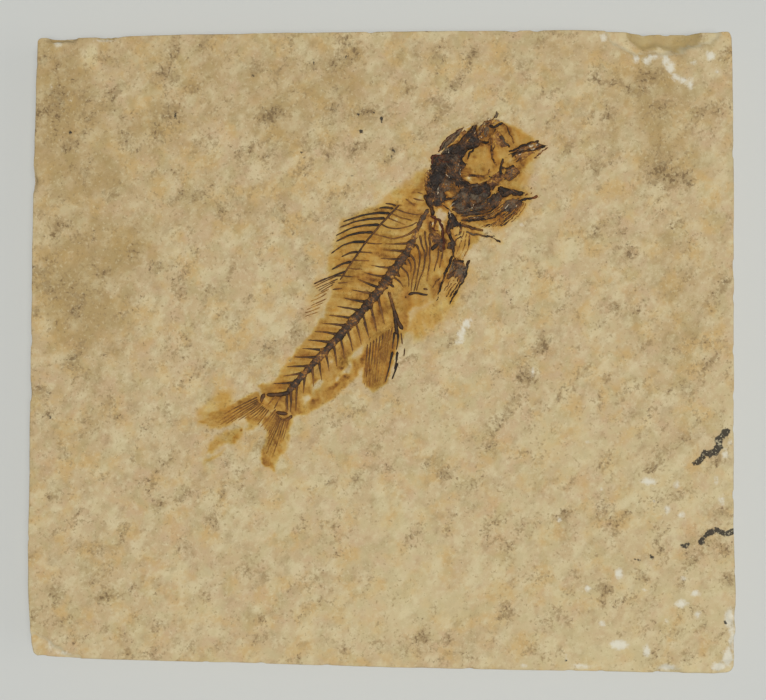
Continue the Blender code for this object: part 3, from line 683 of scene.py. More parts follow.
# %% Chalky bruises and black crusts
# A mark is stored as a cone: 0.5 on its outline, and up or down by 1 per CONE mm from there,
# so the material can find a sharp, grainy outline between the vertices.
CONE = 1.6
FRESH_CHIPS = ("scoop_left", "scoop_right", "top_left_edge")
FRESH_FADE = (-0.08, 0.1)
LEDGE_MIDDLE = 0.25  # mm inside a flake's outline, the middle of its pale rim
LEDGE_HALF = 0.7
LEDGE_FADE = 0.6
# Each bruise: centre, then half its width and half its height
BRUISES = (
    (47.5, -58.6, 2, 1.1), (44, -54.4, 0.7, 0.6), (52.9, -59.8, 0.7, 1.2), (41.2, -47.4, 0.7, 0.7),
    (47.4, -44.4, 0.9, 1.1), (60.3, -45.3, 0.5, 0.4), (62.7, -48.3, 0.9, 0.8),
    (59.9, -50.3, 1.4, 0.9), (57, -53.9, 0.4, 0.4), (36.9, -61.2, 0.4, 0.6),
    (53.4, -25.9, 1.6, 0.8), (58.9, -26.5, 0.6, 0.8), (43.9, -27.5, 0.3, 0.3),
    (57.1, -31.6, 0.6, 0.9), (59.9, -32.6, 0.7, 0.6), (66.9, -25.7, 0.4, 0.9), (68, -29.7, 0.6, 1),
    (54.4, -29.9, 0.3, 0.3), (35.5, -33.6, 0.4, 0.5), (30.2, -4.1, 0.5, 0.9),
    (41.2, -18.1, 0.4, 0.3), (68.6, -20.6, 0.6, 1.1), (69.6, -18, 0.4, 0.6), (28, 25.4, 0.3, 0.3),
    (69.6, -53.2, 1.1, 2), (70.1, -57.2, 0.7, 3.4), (69.2, -61.2, 1.2, 2.3), (67.6, -63, 1.8, 1),
    (57.2, -63.2, 2, 0.8), (39.8, -62.9, 2, 0.5), (50.8, 58.7, 0.8, 0.9), (52.9, 58.1, 0.9, 0.7),
    (54.2, 58.9, 1.1, 0.6), (56.7, 58.4, 0.8, 1.2), (57.7, 56.9, 1, 1.2), (58.8, 54.9, 0.9, 0.8),
    (60.2, 54.3, 1.1, 0.7), (61.7, 53.6, 0.6, 1.2), (65.7, 59.2, 0.9, 1.1), (62.2, 57.8, 0.7, 0.4),
    (67.1, 56, 0.4, 0.4), (-64.8, 61.6, 0.9, 0.6), (-55.6, 62.3, 1.4, 0.3), (-66.2, 52.8, 0.4, 0.4),
    (-62.4, 50.4, 0.4, 0.4), (15.9, 3.1, 0.8, 1.5), (16.9, 5.7, 0.9, 1.1), (16.2, 4.5, 0.6, 1),
    (17.8, 6.4, 0.5, 0.5), (15, 1.9, 0.4, 0.6), (-70.2, 41.5, 0.5, 1.1), (-70.1, 36.2, 0.4, 1.8),
    (-70.3, 30.8, 0.4, 1.2), (-66.4, -58.9, 0.5, 0.8), (-63.8, -60.2, 1.5, 0.3),
    (28.4, -62.9, 0.6, 0.4), (44.4, 62.8, 0.7, 0.9), (63.2, -52.6, 0.6, 0.8),
    (52.6, -47.6, 0.4, 0.3),
)
# Each black crust: the line it follows, and its half width
CRUSTS = shapes(
    ((68.9, -16, 68.3, -16.6, 67.3, -17.6, 67.5, -19, 66.4, -20.2), 0.74),
    ((66.4, -20.2, 65.4, -20.5, 64.4, -20, 64.2, -21.2, 62.6, -22.3), 0.56),
    ((63.8, -38.1, 64.6, -37, 65.7, -36, 66.8, -35.6, 68.3, -36.3, 69.6, -36.2, 70.7, -35.6), 0.58),
    ((60.2, -38.9, 61.3, -38.4), 0.5), ((50.9, -41.5, 51.4, -41.5), 0.4),
    ((53.7, -41, 54, -41.2), 0.42), ((68.5, -54, 68.7, -54.2), 0.25),
    ((-13.7, 57.7, -13.7, 58.4), 0.25), ((-7.2, 58.9, -6.9, 59.1), 0.25),
    ((-4.4, 44.1, -4.2, 43.9), 0.45), ((-0.2, 46.9, 0, 46), 0.3), ((-4.9, 47.7, -4.7, 47.5), 0.25),
    ((-1.9, 47.8, -1.7, 47.8), 0.25), ((2.1, 40.2, 2.3, 40.2), 0.2), ((1.9, 39, 2.1, 39), 0.2),
    ((-16.3, 40, -16.1, 40), 0.25), ((-6.1, 35.2, -5.9, 35.2), 0.2),
    ((-28.7, 53.2, -28.5, 53.2), 0.2), ((-25.8, 55.2, -25.6, 55.2), 0.25),
    ((-19.9, 60.8, -19.7, 60.8), 0.25), ((-62.6, 44, -62.3, 43.8), 0.25),
    ((-61.8, 54.5, -61.6, 54.5), 0.25), ((36.7, -61.6, 36.9, -61.8), 0.25),
    ((-41.3, 47.6, -41.2, 46.8), 0.25), ((-66.5, -12.8, -66.4, -13), 0.3),
)


def bruise_cone(x, y):
    """The cones of the chalky ovals, the highest at each point."""
    return strongest(
        0.5 + (1 - np.hypot((x - centre_x) / half_x, (y - centre_y) / half_y))
        * min(half_x, half_y) / CONE for centre_x, centre_y, half_x, half_y in BRUISES)


def crust_cone(x, y):
    """The cones of the black lines, the highest at each point."""
    return strongest(0.5 + (half - to_path(x, y, line)) / CONE for line, half in CRUSTS)


def broken_face(x, y):
    """1 where a deep chip took the old face away and fresher stone shows."""
    wx, wy = warped(x, y, CHIP_WARP, CHIP_WAVE, 24)
    return strongest(soft_step(1 - from_middle(wx, wy, *CHIPS[name][:4]), *FRESH_FADE)
                     for name in FRESH_CHIPS)


def pale_ledge(x, y):
    """1 along the pale broken rims of the flakes, fading to both sides."""
    wx, wy = warped(x, y, CHIP_WARP, CHIP_WAVE, 24)
    off = (np.abs(inside(wx, wy, shape) - LEDGE_MIDDLE) for _, shape in FLAKES.values())
    return strongest(soft_step(LEDGE_HALF - gap, 0.0, LEDGE_FADE) for gap in off)


def stone_marks(x, y):
    """Every attribute of the stone at these points."""
    return {"cloud": cloud_tone(x, y), "smudge": smudge_strength(x, y),
            "chalk": bruise_cone(x, y), "crust": crust_cone(x, y),
            "fresh": broken_face(x, y), "ledge": pale_ledge(x, y)}


print(len(CLOUDS), "clouds,", len(SMUDGES), "smudges,", len(BRUISES), "bruises and",
      len(CRUSTS), "crusts")

# %% [markdown]
# ## Limestone
#
# This is a micrite: hardened lime mud, split by hand, so the face is matt, with grains too
# small to see and no shine. Its buff is a patchwork of cream, ochre, olive and a pinkish tan,
# two to five millimetres across, with brown specks of half a millimetre over it. Every colour
# is laid over the one before by a mask of noise. The organic film multiplies the stone's
# colour, as a stain does, so the grain still shows through it.

# %% Limestone colours
STONE = {"tan": "#BFA880", "ochre": "#C4A368", "olive": "#B2A378", "cream": "#D3C69F",
         "rose": "#C2A584", "haze": "#967F59", "brown_speck": "#6B563B",
         "dark_speck": "#4A3B29", "chalk": "#DAD6C5", "crust": "#2B2A28", "fresh": "#B29B66",
         "ledge": "#C6BA98", "dark_cloud": "#A58B5A", "light_cloud": "#CFC297"}
STAIN = {"none": "#FFFFFF", "straw": "#F5E3AE", "amber": "#E4C27A", "rust": "#B58A53",
         "umber": "#6C5948"}
# How strong a stain is where it has these colours; none is at 0 and umber at 1
STAIN_STEPS = ((0.28, "straw"), (0.55, "amber"), (0.8, "rust"))
# Colours laid over the tan by noise: colour, chance number, mm between blobs, detail,
# roughness, what the gathering of brown adds, the value at which the colour starts and is
# full, how much of it shows, and 1 where it is drawn out along the slant
PATCHES = (
    ("ochre", 0, 5.0, 3, 0.5, 0, 0.45, 0.62, 0.65, 0),
    ("olive", 1, 3.6, 3, 0.5, 0, 0.48, 0.64, 0.6, 0),
    ("rose", 2, 4.2, 3, 0.5, 0, 0.50, 0.64, 0.4, 0),
    ("cream", 3, 3.0, 4, 0.6, 0, 0.46, 0.67, 0.62, 1),
    ("haze", 4, 2.4, 5, 0.7, 0, 0.48, 0.68, 0.42, 1),
    ("cream", 5, 1.2, 4, 0.65, 0, 0.50, 0.69, 0.45, 0),
)
# A haze of fine brown, a few cream flecks, then specks in two browns
SPECKS = (
    ("haze", 21, 0.8, 4, 0.8, 0.45, 0.62, 0.95, 0.5, 1),
    ("cream", 30.7, 0.7, 2, 0.6, 0.06, 0.56, 0.72, 0.4, 0),
    ("haze", 30.6, 0.6, 2, 0.6, 0.19, 0.58, 0.71, 0.6, 0),
    ("brown_speck", 30.65, 0.65, 2, 0.6, 0.22, 0.69, 0.82, 0.65, 0),
    ("dark_speck", 30.52, 0.52, 2, 0.6, 0.12, 0.77, 0.84, 0.75, 0),
)
# Brown gathers in clusters and smudges, and a little more where a cloud is dark
CLUSTER_SIZE = 3.8
CLUSTER_RANGE = (0.47, 0.71)
CLUSTER_MOST = 0.85
CLOUD_GATHERS = -0.12
SLANT = 48  # degrees from the bottom edge, the way clusters and cream are drawn out
DRAWN_OUT = 1.4
BED_SIZE = 2.2  # mm, the beds that show on the sides, drawn out along the sides:
BED_SQUEEZE = 0.05
# Marks laid on by a number stored on the vertices: colour, attribute, range, how much shows.
# After each list, the noise that breaks its edges: size in mm, detail, roughness, how far it
# swings, and a chance number where it has one
CLOUD_MARKS = (("dark_cloud", "cloud", -0.05, -1.4, 0.75),
               ("light_cloud", "cloud", 0.0, 0.9, 0.45))
BROKEN_MARKS = (("fresh", "fresh", 0.1, 0.9, 0.7), ("ledge", "ledge", 0.1, 1.1, 0.75))
BROKEN = (2.6, 5, 0.6, 3.0, 19)
BEDDING_MARKS = (("haze", "wall", 1.0, 1.5, 0.6),)
BEDDING = (BED_SIZE, 4, 0.6, 3.0)
RAGGED_MARKS = (("chalk", "chalk", 0.34, 0.86, 0.85), ("crust", "crust", 0.44, 0.60, 0.92))
RAGGED = (0.8, 4, 0.65, 0.9)
# Flecks of stone that show through the middle of a crust
FLECKED_MARKS = (("ledge", "crust", 0.88, 1.15, 0.7),)
FLECKED = (0.55, 2, 0.7, 2.6)


# %% Limestone material
def lay_noises(tree, colour, rows, metres, drawn, gathered=None):
    """Colours laid over a colour, each by its own noise plus its share of what is gathered."""
    for key, chance, size, detail, rough, share, low, high, most, slanted in rows:
        value = add(tree, "TexNoise", {"Vector": drawn if slanted else metres, "W": chance,
                                       "Scale": 1 / (size * MM), "Detail": detail,
                                       "Roughness": rough}, noise_dimensions="4D").outputs[0]
        if gathered is not None:
            value = add(tree, "Math", {0: gathered, 1: share, 2: value},
                        operation="MULTIPLY_ADD").outputs[0]
        colour = lay(tree, colour, STONE[key], value, low, high, most)
    return colour


def lay_marks(tree, colour, colours, marks, broken):
    """Colours laid over a colour, each by its attribute plus a noise that breaks its edge."""
    for key, name, low, high, most in marks:
        value = add(tree, "Attribute", attribute_name=name).outputs["Fac"]
        value = add(tree, "Math", {0: value, 1: broken}, operation="ADD")
        colour = lay(tree, colour, colours[key], value.outputs[0], low, high, most)
    return colour


def limestone(name):
    """The stone: patches, clouds, specks, then marks, stain, roughness and grain."""
    material, tree, shader, metres = start_material(name, {"IOR": 1.5,
                                                           "Specular IOR Level": 0.25})
    drawn = add(tree, "Mapping", {"Vector": metres, "Rotation": (0, 0, math.radians(SLANT)),
                                  "Scale": (DRAWN_OUT, 1, 1)}, vector_type="TEXTURE").outputs[0]
    colour = lay_noises(tree, srgb(STONE["tan"]), PATCHES, metres, drawn)
    broken = swing(tree, metres, *BROKEN)
    colour = lay_marks(tree, colour, STONE, CLOUD_MARKS, broken)

    # How much the brown gathers here, and the specks that follow it
    groups = add(tree, "TexNoise", {"Vector": drawn, "W": 20, "Scale": 1 / (CLUSTER_SIZE * MM),
                                    "Detail": 5, "Roughness": 0.6}, noise_dimensions="4D")
    low, high = CLUSTER_RANGE
    groups = add(tree, "MapRange", {"Value": groups.outputs[0], "From Min": low,
                                    "From Max": high, "To Max": CLUSTER_MOST},
                 interpolation_type="SMOOTHSTEP")
    smudge = add(tree, "Attribute", attribute_name="smudge").outputs["Fac"]
    gathered = add(tree, "Math", {0: groups.outputs[0], 1: smudge}, operation="ADD").outputs[0]
    cloud = add(tree, "Attribute", attribute_name="cloud").outputs["Fac"]
    gathered = add(tree, "Math", {0: cloud, 1: CLOUD_GATHERS, 2: gathered},
                   operation="MULTIPLY_ADD").outputs[0]
    colour = lay_noises(tree, colour, SPECKS, metres, drawn, gathered)

    # Broken faces, bedding on the sides, chalk and crust
    colour = lay_marks(tree, colour, STONE, BROKEN_MARKS, broken)
    layers = add(tree, "Mapping", {"Vector": metres,
                                   "Scale": (BED_SQUEEZE, BED_SQUEEZE, 1)}).outputs[0]
    colour = lay_marks(tree, colour, STONE, BEDDING_MARKS, swing(tree, layers, *BEDDING))
    colour = lay_marks(tree, colour, STONE, RAGGED_MARKS, swing(tree, metres, *RAGGED))
    colour = lay_marks(tree, colour, STONE, FLECKED_MARKS, swing(tree, metres, *FLECKED))

    # The organic film, mottled a little more than its attribute says
    stain = add(tree, "Attribute", attribute_name="stain").outputs["Fac"]
    mottle = vary(tree, metres, 0.7, 3, 0.7, 0.85, 1.15)
    stain = add(tree, "Math", {0: stain, 1: mottle}, operation="MULTIPLY")
    ramp = add(tree, "ValToRGB", {"Fac": stain.outputs[0]})
    steps = ramp.color_ramp.elements
    steps[0].color = srgb(STAIN["none"])
    steps[1].color = srgb(STAIN["umber"])
    for place, key in STAIN_STEPS:
        steps.new(place).color = srgb(STAIN[key])
    colour = add(tree, "Mix", {"Factor": 1.0, 6: colour, 7: ramp.outputs[0]}, data_type="RGBA",
                 blend_type="MULTIPLY").outputs[2]
    tree.links.new(colour, shader.inputs["Base Color"])

    # Matt, with a grain that catches the light
    dull = vary(tree, metres, 1.1, 2, 0.5, 0.8, 0.95)
    tree.links.new(dull, shader.inputs["Roughness"])
    grain(tree, shader, metres, 0.9, 4, 0.7, 0.14, 0.7)
    return material


LIMESTONE = limestone("limestone_split_face")

# %% [markdown]
# ## The slab
#
# The top could be a square grid pulled to shape. Here it is a patch spanned between four
# curved sides: each point is the mean of what its two pairs of sides ask for, less what the
# corners ask for twice. The walls and back are a profile carried round the outline: over the
# worn rim, down past layers of mud that broke back by different amounts, round the lower rim
# and in towards the middle of the back, where it closes in a pole.

# %% Slab
LAYERS = ((0.0, 0.3), (2.4, 0.35), (4.0, 0.0), (6.9, 0.45), (8.1, 0.1), (10.8, 0.4), (13.4, 0.1))
LAYER_DIP = 0.5  # how far the layers wander up and down along a wall
WALL_ROUGHNESS = 0.32
WALL_GRAIN = 0.06
LAMINA = 0.55  # thickness of the finest layers that show
LAMINA_STEP = 0.10
RIM_STEPS = 4
WALL_STEPS = 19
BACK_RINGS = (0.97, 0.8, 0.55, 0.25)
BACK_RIM = 0.4
BACK_HOLLOW = 0.12
FRESH_REACH = (8.0, 11.5)  # mm above the back, where a scoop's broken face fades out


def span_patch(edge):
    """The grid between four sides: bottom and top blended by t, plus left and right blended
    by s, minus the four corners blended by both."""
    cuts = np.cumsum([ACROSS, UP, ACROSS])
    bottom, right, top, left = np.split(edge, cuts)
    bottom = np.concatenate([bottom, right[:1]])
    right = np.concatenate([right, top[:1]])
    top = np.concatenate([top, left[:1]])[::-1]
    left = np.concatenate([left, bottom[:1]])[::-1]
    s = np.linspace(0, 1, ACROSS + 1)[:, None, None]
    t = np.linspace(0, 1, UP + 1)[None, :, None]
    between_rows = (1 - t) * bottom[:, None] + t * top[:, None]
    between_columns = (1 - s) * left[None] + s * right[None]
    corners = ((1 - s) * (1 - t) * bottom[0] + s * (1 - t) * bottom[-1]
               + (1 - s) * t * top[0] + s * t * top[-1])
    return between_rows + between_columns - corners


def border_numbers(rows, columns):
    """The numbers of a grid's border points, in order round it from the first corner."""
    numbers = np.arange(rows * columns).reshape(rows, columns)
    return np.concatenate([numbers[:-1, 0], numbers[-1, :-1], numbers[:0:-1, -1],
                           numbers[0, :0:-1]])


def wall_inset(along, height):
    """How far a wall stands back at a height: its layers' setbacks read at a height that
    wanders along the wall, plus roughness, grain and the steps of thin laminae."""
    wander = height + LAYER_DIP * noise(along, np.zeros_like(along), 16.0, 41, 2)
    depths = np.array(LAYERS)
    inset = np.interp(wander, depths[:, 0], depths[:, 1])
    inset = inset + WALL_ROUGHNESS * (1 + noise(along, height * 1.6, 4.8, 42, 3)) / 2
    ledges = noise(along * 0.06 + 3.0, wander, LAMINA, 43)
    return inset + LAMINA_STEP * ledges + WALL_GRAIN * noise(along, height, 0.9, 44, 2)


def make_slab():
    """Top patch, rim, walls and back as one closed skin."""
    rim = RIM_RADIUS + RIM_CHANGE * noise(walked, 0 * walked, 3.0, 45, 2)
    edge = outline - outward * rim[:, None]
    top = span_patch(edge).reshape(-1, 2)
    heights = slab_height(top[:, 0], top[:, 1])
    border = border_numbers(ACROSS + 1, UP + 1)
    rim_top = heights[border]
    rings = []
    for bend in np.linspace(0, math.pi / 2, RIM_STEPS + 1)[1:-1]:
        rings.append((edge + outward * (rim * math.sin(bend))[:, None],
                      rim_top - rim * (1 - math.cos(bend))))
    wall_top = rim_top - rim
    for share in np.linspace(0, 1, WALL_STEPS):
        height = wall_top + (BACK_RIM - wall_top) * share
        inset = wall_inset(walked, height) * soft_step(np.full(1, share), -0.02, 0.12)
        rings.append((outline - outward * inset[:, None], height))
    foot = rings[-1][0] - outward * BACK_RIM
    middle = foot.mean(axis=0)
    for shrink in (1.0, *BACK_RINGS):
        ring = middle + (foot - middle) * shrink
        hollow = BACK_HOLLOW * (1 + noise(ring[:, 0], ring[:, 1], 9.0, 46, 2)) * (shrink < 1)
        hollow = np.maximum(hollow, 0.0)  # nothing reaches below the foot that it stands on
        rings.append((ring, hollow))
    flat = np.concatenate([ring for ring, _ in rings] + [middle[None]])
    heights = np.concatenate([heights, *[height for _, height in rings], [BACK_HOLLOW]])
    points = np.column_stack([np.concatenate([top, flat]), heights])
    first = len(top)
    count = len(outline)
    joint = np.stack([border, first + np.arange(count), np.roll(first + np.arange(count), -1),
                      np.roll(border, -1)], axis=-1)
    walls = grid_faces(len(rings), count, first, closed=True)
    last = first + (len(rings) - 1) * count + np.arange(count)
    groups = [grid_faces(ACROSS + 1, UP + 1)[:, ::-1], joint, walls[:, ::-1],
              fan_faces(last, len(points) - 1)[:, ::-1]]
    marks = stone_marks(points[:, 0], points[:, 1])
    on_wall = np.zeros(len(points))
    on_wall[first + (RIM_STEPS - 1) * count:] = 1.0
    for key in ("smudge", "chalk", "crust", "ledge"):
        marks[key] = marks[key] * (1 - on_wall)
    marks["wall"] = on_wall
    marks["fresh"] = marks["fresh"] * soft_step(points[:, 2], *FRESH_REACH)
    marks["stain"] = np.zeros(len(points))
    return make_mesh("limestone_slab", points, groups, marks)


def finish(piece, material, node=None):
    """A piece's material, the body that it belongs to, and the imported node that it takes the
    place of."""
    piece.data.materials.append(material)
    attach(piece, "root")
    if node:
        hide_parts(node)


finish(make_slab(), LIMESTONE, "slab")

# %% [markdown]
# ## The bones as lines
#
# Before any bone is modelled, the skeleton is drawn as lines in the fish's plane. Each bone is
# a few points from its root to its tip, then its half width at both ends in millimetres, and
# how dark it is there: 0 is amber and 1 nearly black. The lines are used twice: to
# build the bones, and to darken the film beside them.

# %% Backbone lines
COLUMN = (
    (0, -0.3), (1, -0.4), (5, -0.55), (9, -0.85), (12, -1.1), (15, -1.35), (18, -1.55), (21, -1.75),
    (24, -1.9), (28, -1.95), (31, -1.75), (34, -1.6), (37, -1.45), (39.5, -0.95), (42, -0.2),
    (44, 0.3), (46.4, 0.5),
)
# Along the backbone: u, and the half width of a vertebra there
COLUMN_WIDTH = (
    (0, 0.85), (2, 0.84), (5, 0.8), (9, 0.9), (15, 0.98), (21, 1.04), (28, 1.1), (32, 1.12),
    (38, 0.88), (40.5, 0.66), (46.4, 0.5),
)
NEURAL_SPINES = strokes(
    (2, 0.3, 0.9, 1.6, -0.3, 3), (4.6, 0.1, 3.4, 1.2, 2, 2.5), (6.6, 0, 5.4, 1.4, 4, 3),
    (9, -0.2, 7.8, 1.3, 6.4, 3.1), (11, -0.3, 10, 1.2, 8.7, 3), (13.1, -0.4, 12.1, 1.2, 10.8, 3.1),
    (15.2, -0.5, 14.3, 1.2, 13, 3.1), (17.5, -0.7, 16.5, 1, 15.2, 2.9),
    (19.6, -0.9, 18.6, 0.9, 17.3, 2.9), (21.7, -1, 20.8, 0.8, 19.7, 2.8),
    (23.9, -1.1, 22.9, 0.6, 21.9, 2.7), (26.1, -1.2, 25.1, 0.6, 24.1, 2.5),
    (27.7, -1, 27.1, 0.8, 26.6, 2.9), (30.2, -1, 29.2, 0.8, 28.4, 2.7),
    (32.5, -0.9, 31.3, 0.7, 30.4, 2.6), (34.6, -0.9, 33.4, 0.8, 32.6, 2),
    (36.7, -0.9, 35.6, 0.7, 34.3, 2.5), (39, -0.7, 38.1, -0.3, 36.7, 1.4, 35.5, 3),
    (41.6, -0.1, 39.9, 0.5, 38.4, 1.4, 37.2, 2.4, 36.9, 3.4),
)
HAEMAL_SPINES = strokes(
    (-0.6, -0.7, -1.8, -1.8, -3, -2.8), (0.4, -0.9, -1, -2.1, -2.7, -3.3),
    (2.2, -1, 0.3, -2.4, -1.8, -3.9), (4.5, -1.1, 3.3, -2, 1.9, -2.9),
    (6.8, -1.3, 5.6, -2.5, 4.2, -3.7), (8.7, -1.5, 7.5, -2.8, 6.2, -4.2),
    (10.8, -1.6, 9.8, -2.9, 8.5, -4.3), (13, -1.9, 11.8, -3.3, 10.3, -4.8),
    (15, -2.1, 13.8, -3.6, 12.3, -5.2), (17.1, -2.2, 16, -3.8, 14.5, -5.5),
    (19.4, -2.4, 18.2, -4.2, 16.7, -6), (21.5, -2.6, 20.4, -4.2, 18.9, -6.1),
    (23.8, -2.7, 22.6, -4.5, 20.8, -6.7), (26, -2.8, 24.7, -4.7, 22.9, -6.9),
)
RIBS = strokes(
    (37, -2, 36.7, -3.6, 35.6, -4.7, 34, -5.4, 32.6, -6.1, 31.3, -7.1),
    (39.4, -1.9, 38.4, -3.6, 36.8, -4.8, 35, -5.8, 33.3, -6.7, 31.6, -7.5),
    (41.2, -1.4, 39.8, -2.9, 39.2, -4.2, 37.6, -5.5, 36, -6.4, 34, -6.9, 32, -7.8),
    (42.5, -1.6, 41, -3, 39.8, -4.4, 38.4, -5.1),
    (42.1, -3, 40.9, -4.3, 39.8, -5, 38.4, -6.2, 36.4, -7.3, 34.8, -8.3),
    (41.5, -5.9, 40, -7, 38.4, -7.6, 37.2, -8.2), (42.2, -6.5, 40.5, -7.6, 38.5, -8.5),
    (33.9, -2.2, 33.8, -4.1, 32.9, -5.2, 31.7, -6.1), (31.4, -2.6, 31.4, -4.4, 31, -5.3),
    (36, -2.4, 35.4, -3.8, 34.2, -4.6),
)
KNOBS = strokes((29.8, -2.4, 29.85, -3.9), (32.4, -2.2, 32.2, -3.5), (34.9, -2, 34.9, -3))
UROSTYLE = ((0.4, -0.7), (-0.9, 0.3), (-1.9, 1.4), (-2.9, 2.7))
BELLY_BAR = ((30.4, -7.0), (31.3, -7.5), (31.9, -8.4), (32.3, -9.3), (32.9, -10.1))
BELLY_SPLINT = ((33.2, -8.6), (33.7, -9.4))
BELLY_GRAIN = ((29.6, -6.8), (29.9, -6.9))


def lines(paths, root, tip, dark_root, dark_tip):
    """Bones that share their half widths and darkness, at the root and at the tip."""
    return [(path, root, tip, dark_root, dark_tip) for path in paths]


def rooted(paths, reach=0.6):
    """The same paths, each begun earlier by a reach in mm, so its root is in the backbone."""
    longer = []
    for path in paths:
        start, on = np.array(path[0]), np.array(path[1])
        longer.append((tuple(start + (start - on) * reach / math.dist(start, on)), *path))
    return longer


BACKBONE_BONES = (
    lines(rooted(NEURAL_SPINES), 0.42, 0.1, 0.72, 0.36)
    + lines(rooted(HAEMAL_SPINES), 0.4, 0.1, 0.66, 0.32)
    + lines(RIBS, 0.26, 0.13, 0.54, 0.42)
    + lines(KNOBS, 0.5, 0.2, 0.7, 0.6)
    + lines([UROSTYLE], 0.52, 0.4, 0.78, 0.66)
    + lines([BELLY_BAR], 0.36, 0.22, 0.8, 0.7)
    + lines([BELLY_SPLINT], 0.24, 0.2, 0.45, 0.4)
    + lines([BELLY_GRAIN], 0.16, 0.14, 0.8, 0.8)
)

# %% Fin lines
DORSAL_BASE = ((24.2, 5.5), (28.5, 5.9), (33.0, 6.2), (38.0, 6.1), (43.4, 5.6))
DORSAL_STOUT = strokes(
    (42.8, 6, 42.5, 7, 41.8, 8), (42, 6, 41.5, 7.2, 40.3, 8.4),
    (40.9, 6, 39.4, 8, 37, 10.2, 33.7, 12.3), (39.5, 6.2, 37.4, 8.6, 35, 10.6, 32.4, 12.1),
    (37.8, 6.2, 35.8, 8.5, 33.6, 10.3, 30.6, 11.7), (35.8, 6.3, 34.2, 8.2, 32.2, 9.8, 29.7, 10.9),
    (33.4, 6.3, 31.8, 8.2, 29.8, 9.5, 27.2, 10.2), (30.9, 6.2, 29.8, 7.3, 28, 8.2),
    (28.5, 6, 27.2, 7.1, 24.8, 8.1),
)
DORSAL_LONG = strokes((26.5, 5.6, 24.8, 6.6, 22.6, 7.9, 20.3, 9.1))
DORSAL_SLIM = strokes(
    (25.1, 5.7, 24.6, 6.4, 22.6, 7.5, 20, 8.7), (24.2, 5.9, 22.2, 7, 19.8, 8.2),
    (23.4, 6, 21.6, 6.9, 19.8, 7.6), (22.7, 6, 21.2, 6.6, 19.9, 7.1),
)
DORSAL_FAINT = strokes(
    (21.4, 6.1, 19.8, 6.8, 18.4, 7.4), (20.5, 5.9, 18.9, 6.5, 17.2, 7.4),
    (19.6, 5.3, 18.2, 6, 16.6, 6.8), (18.6, 5.3, 16.9, 6.2, 15.4, 7), (17.4, 5.2, 16, 6, 14.6, 6.9),
    (16.4, 5, 15.2, 5.8, 14.1, 6.5),
)
DORSAL_RODS = strokes(
    (21.8, 5.5, 23.2, 4.1), (23.4, 5.5, 24.9, 3.9), (25.2, 5.6, 26.5, 3.6),
    (27, 5.8, 27.6, 4.8, 28.7, 3.3), (28.9, 6, 29.6, 5, 30.9, 3.3),
    (30.9, 6.1, 31.8, 4.9, 32.5, 3.8), (33.3, 6, 34.2, 4.6, 35.2, 3.4),
    (35.6, 6.1, 36.2, 4.6, 36.9, 3.2, 37, 2.4),
    (38.1, 6, 38.4, 4.4, 39.2, 3.1, 40.3, 2.1, 41.6, 1.2, 43, 0.6), (39.9, 6, 40.3, 4.4, 41, 2.2),
    (41, 5.8, 41.5, 3.9, 42.5, 1.7), (42.2, 5.8, 42.8, 4, 43.6, 2.2, 44.6, 0.9),
    (45.1, 5.4, 45.1, 3), (46.1, 4.3, 46.5, 3.3, 47.1, 2.2), (47.6, 4.4, 48, 3.2),
)
DORSAL_BONES = (
    lines([DORSAL_BASE], 0.16, 0.22, 0.5, 0.66)
    + lines(DORSAL_STOUT, 0.34, 0.15, 0.92, 0.8)
    + lines(DORSAL_LONG, 0.24, 0.18, 0.95, 0.75)
    + lines(DORSAL_SLIM, 0.15, 0.1, 0.62, 0.34)
    + lines(DORSAL_FAINT, 0.12, 0.1, 0.25, 0.12)
    + lines(DORSAL_RODS, 0.17, 0.13, 0.5, 0.34)
)
ANAL_BARS = strokes(
    (28.4, -3.5, 27.2, -5.3, 25.8, -7.4, 24.9, -8.9, 24.3, -10.5),
    (27, -5.6, 25.4, -7.6, 24, -9, 22.8, -10.2),
)
ANAL_SPINES = strokes(
    (23.2, -10.2, 21.8, -11.2, 20.2, -12.1), (20.2, -12.4, 18.6, -13.4, 17, -14.1),
    (18.4, -13.8, 16.8, -14.5, 15.1, -15), (22.9, -9.5, 21.4, -10.4, 19.9, -11.3),
    (19.6, -11.6, 16.9, -13, 13.8, -14.3),
)
ANAL_SHORT = strokes((23.6, -10.6, 22.7, -11.5, 21.9, -12.3), (21.6, -13.1, 20.9, -13.6, 20.2, -14))
ANAL_ROOTS = ((23.4, -8.6), (17.6, -6.8))
ANAL_TIPS = ((14.2, -13.3), (13.0, -13.5), (11.3, -12.8), (10.8, -11.4))
ANAL_RAYS = 9
ANAL_RODS = strokes(
    (25.4, -3.4, 22.8, -7), (22.9, -3.6, 20.6, -6.8), (20.6, -3.4, 18.6, -6.6),
    (28.6, -3.8, 27.9, -4.8, 27.2, -5.9),
)


def fan(roots, tips, count):
    """Straight lines from evenly spread roots to evenly spread tips."""
    return list(zip(map(tuple, even_steps(roots, count)), map(tuple, even_steps(tips, count))))


ANAL_BONES = (
    lines(ANAL_BARS, 0.24, 0.42, 0.6, 0.8)
    + lines(ANAL_SPINES, 0.36, 0.12, 1.0, 0.7)
    + lines(ANAL_SHORT, 0.2, 0.14, 0.6, 0.55)
    + lines(fan(ANAL_ROOTS, ANAL_TIPS, ANAL_RAYS), 0.17, 0.1, 0.4, 0.12)
    + lines(ANAL_RODS, 0.15, 0.1, 0.45, 0.3)
)

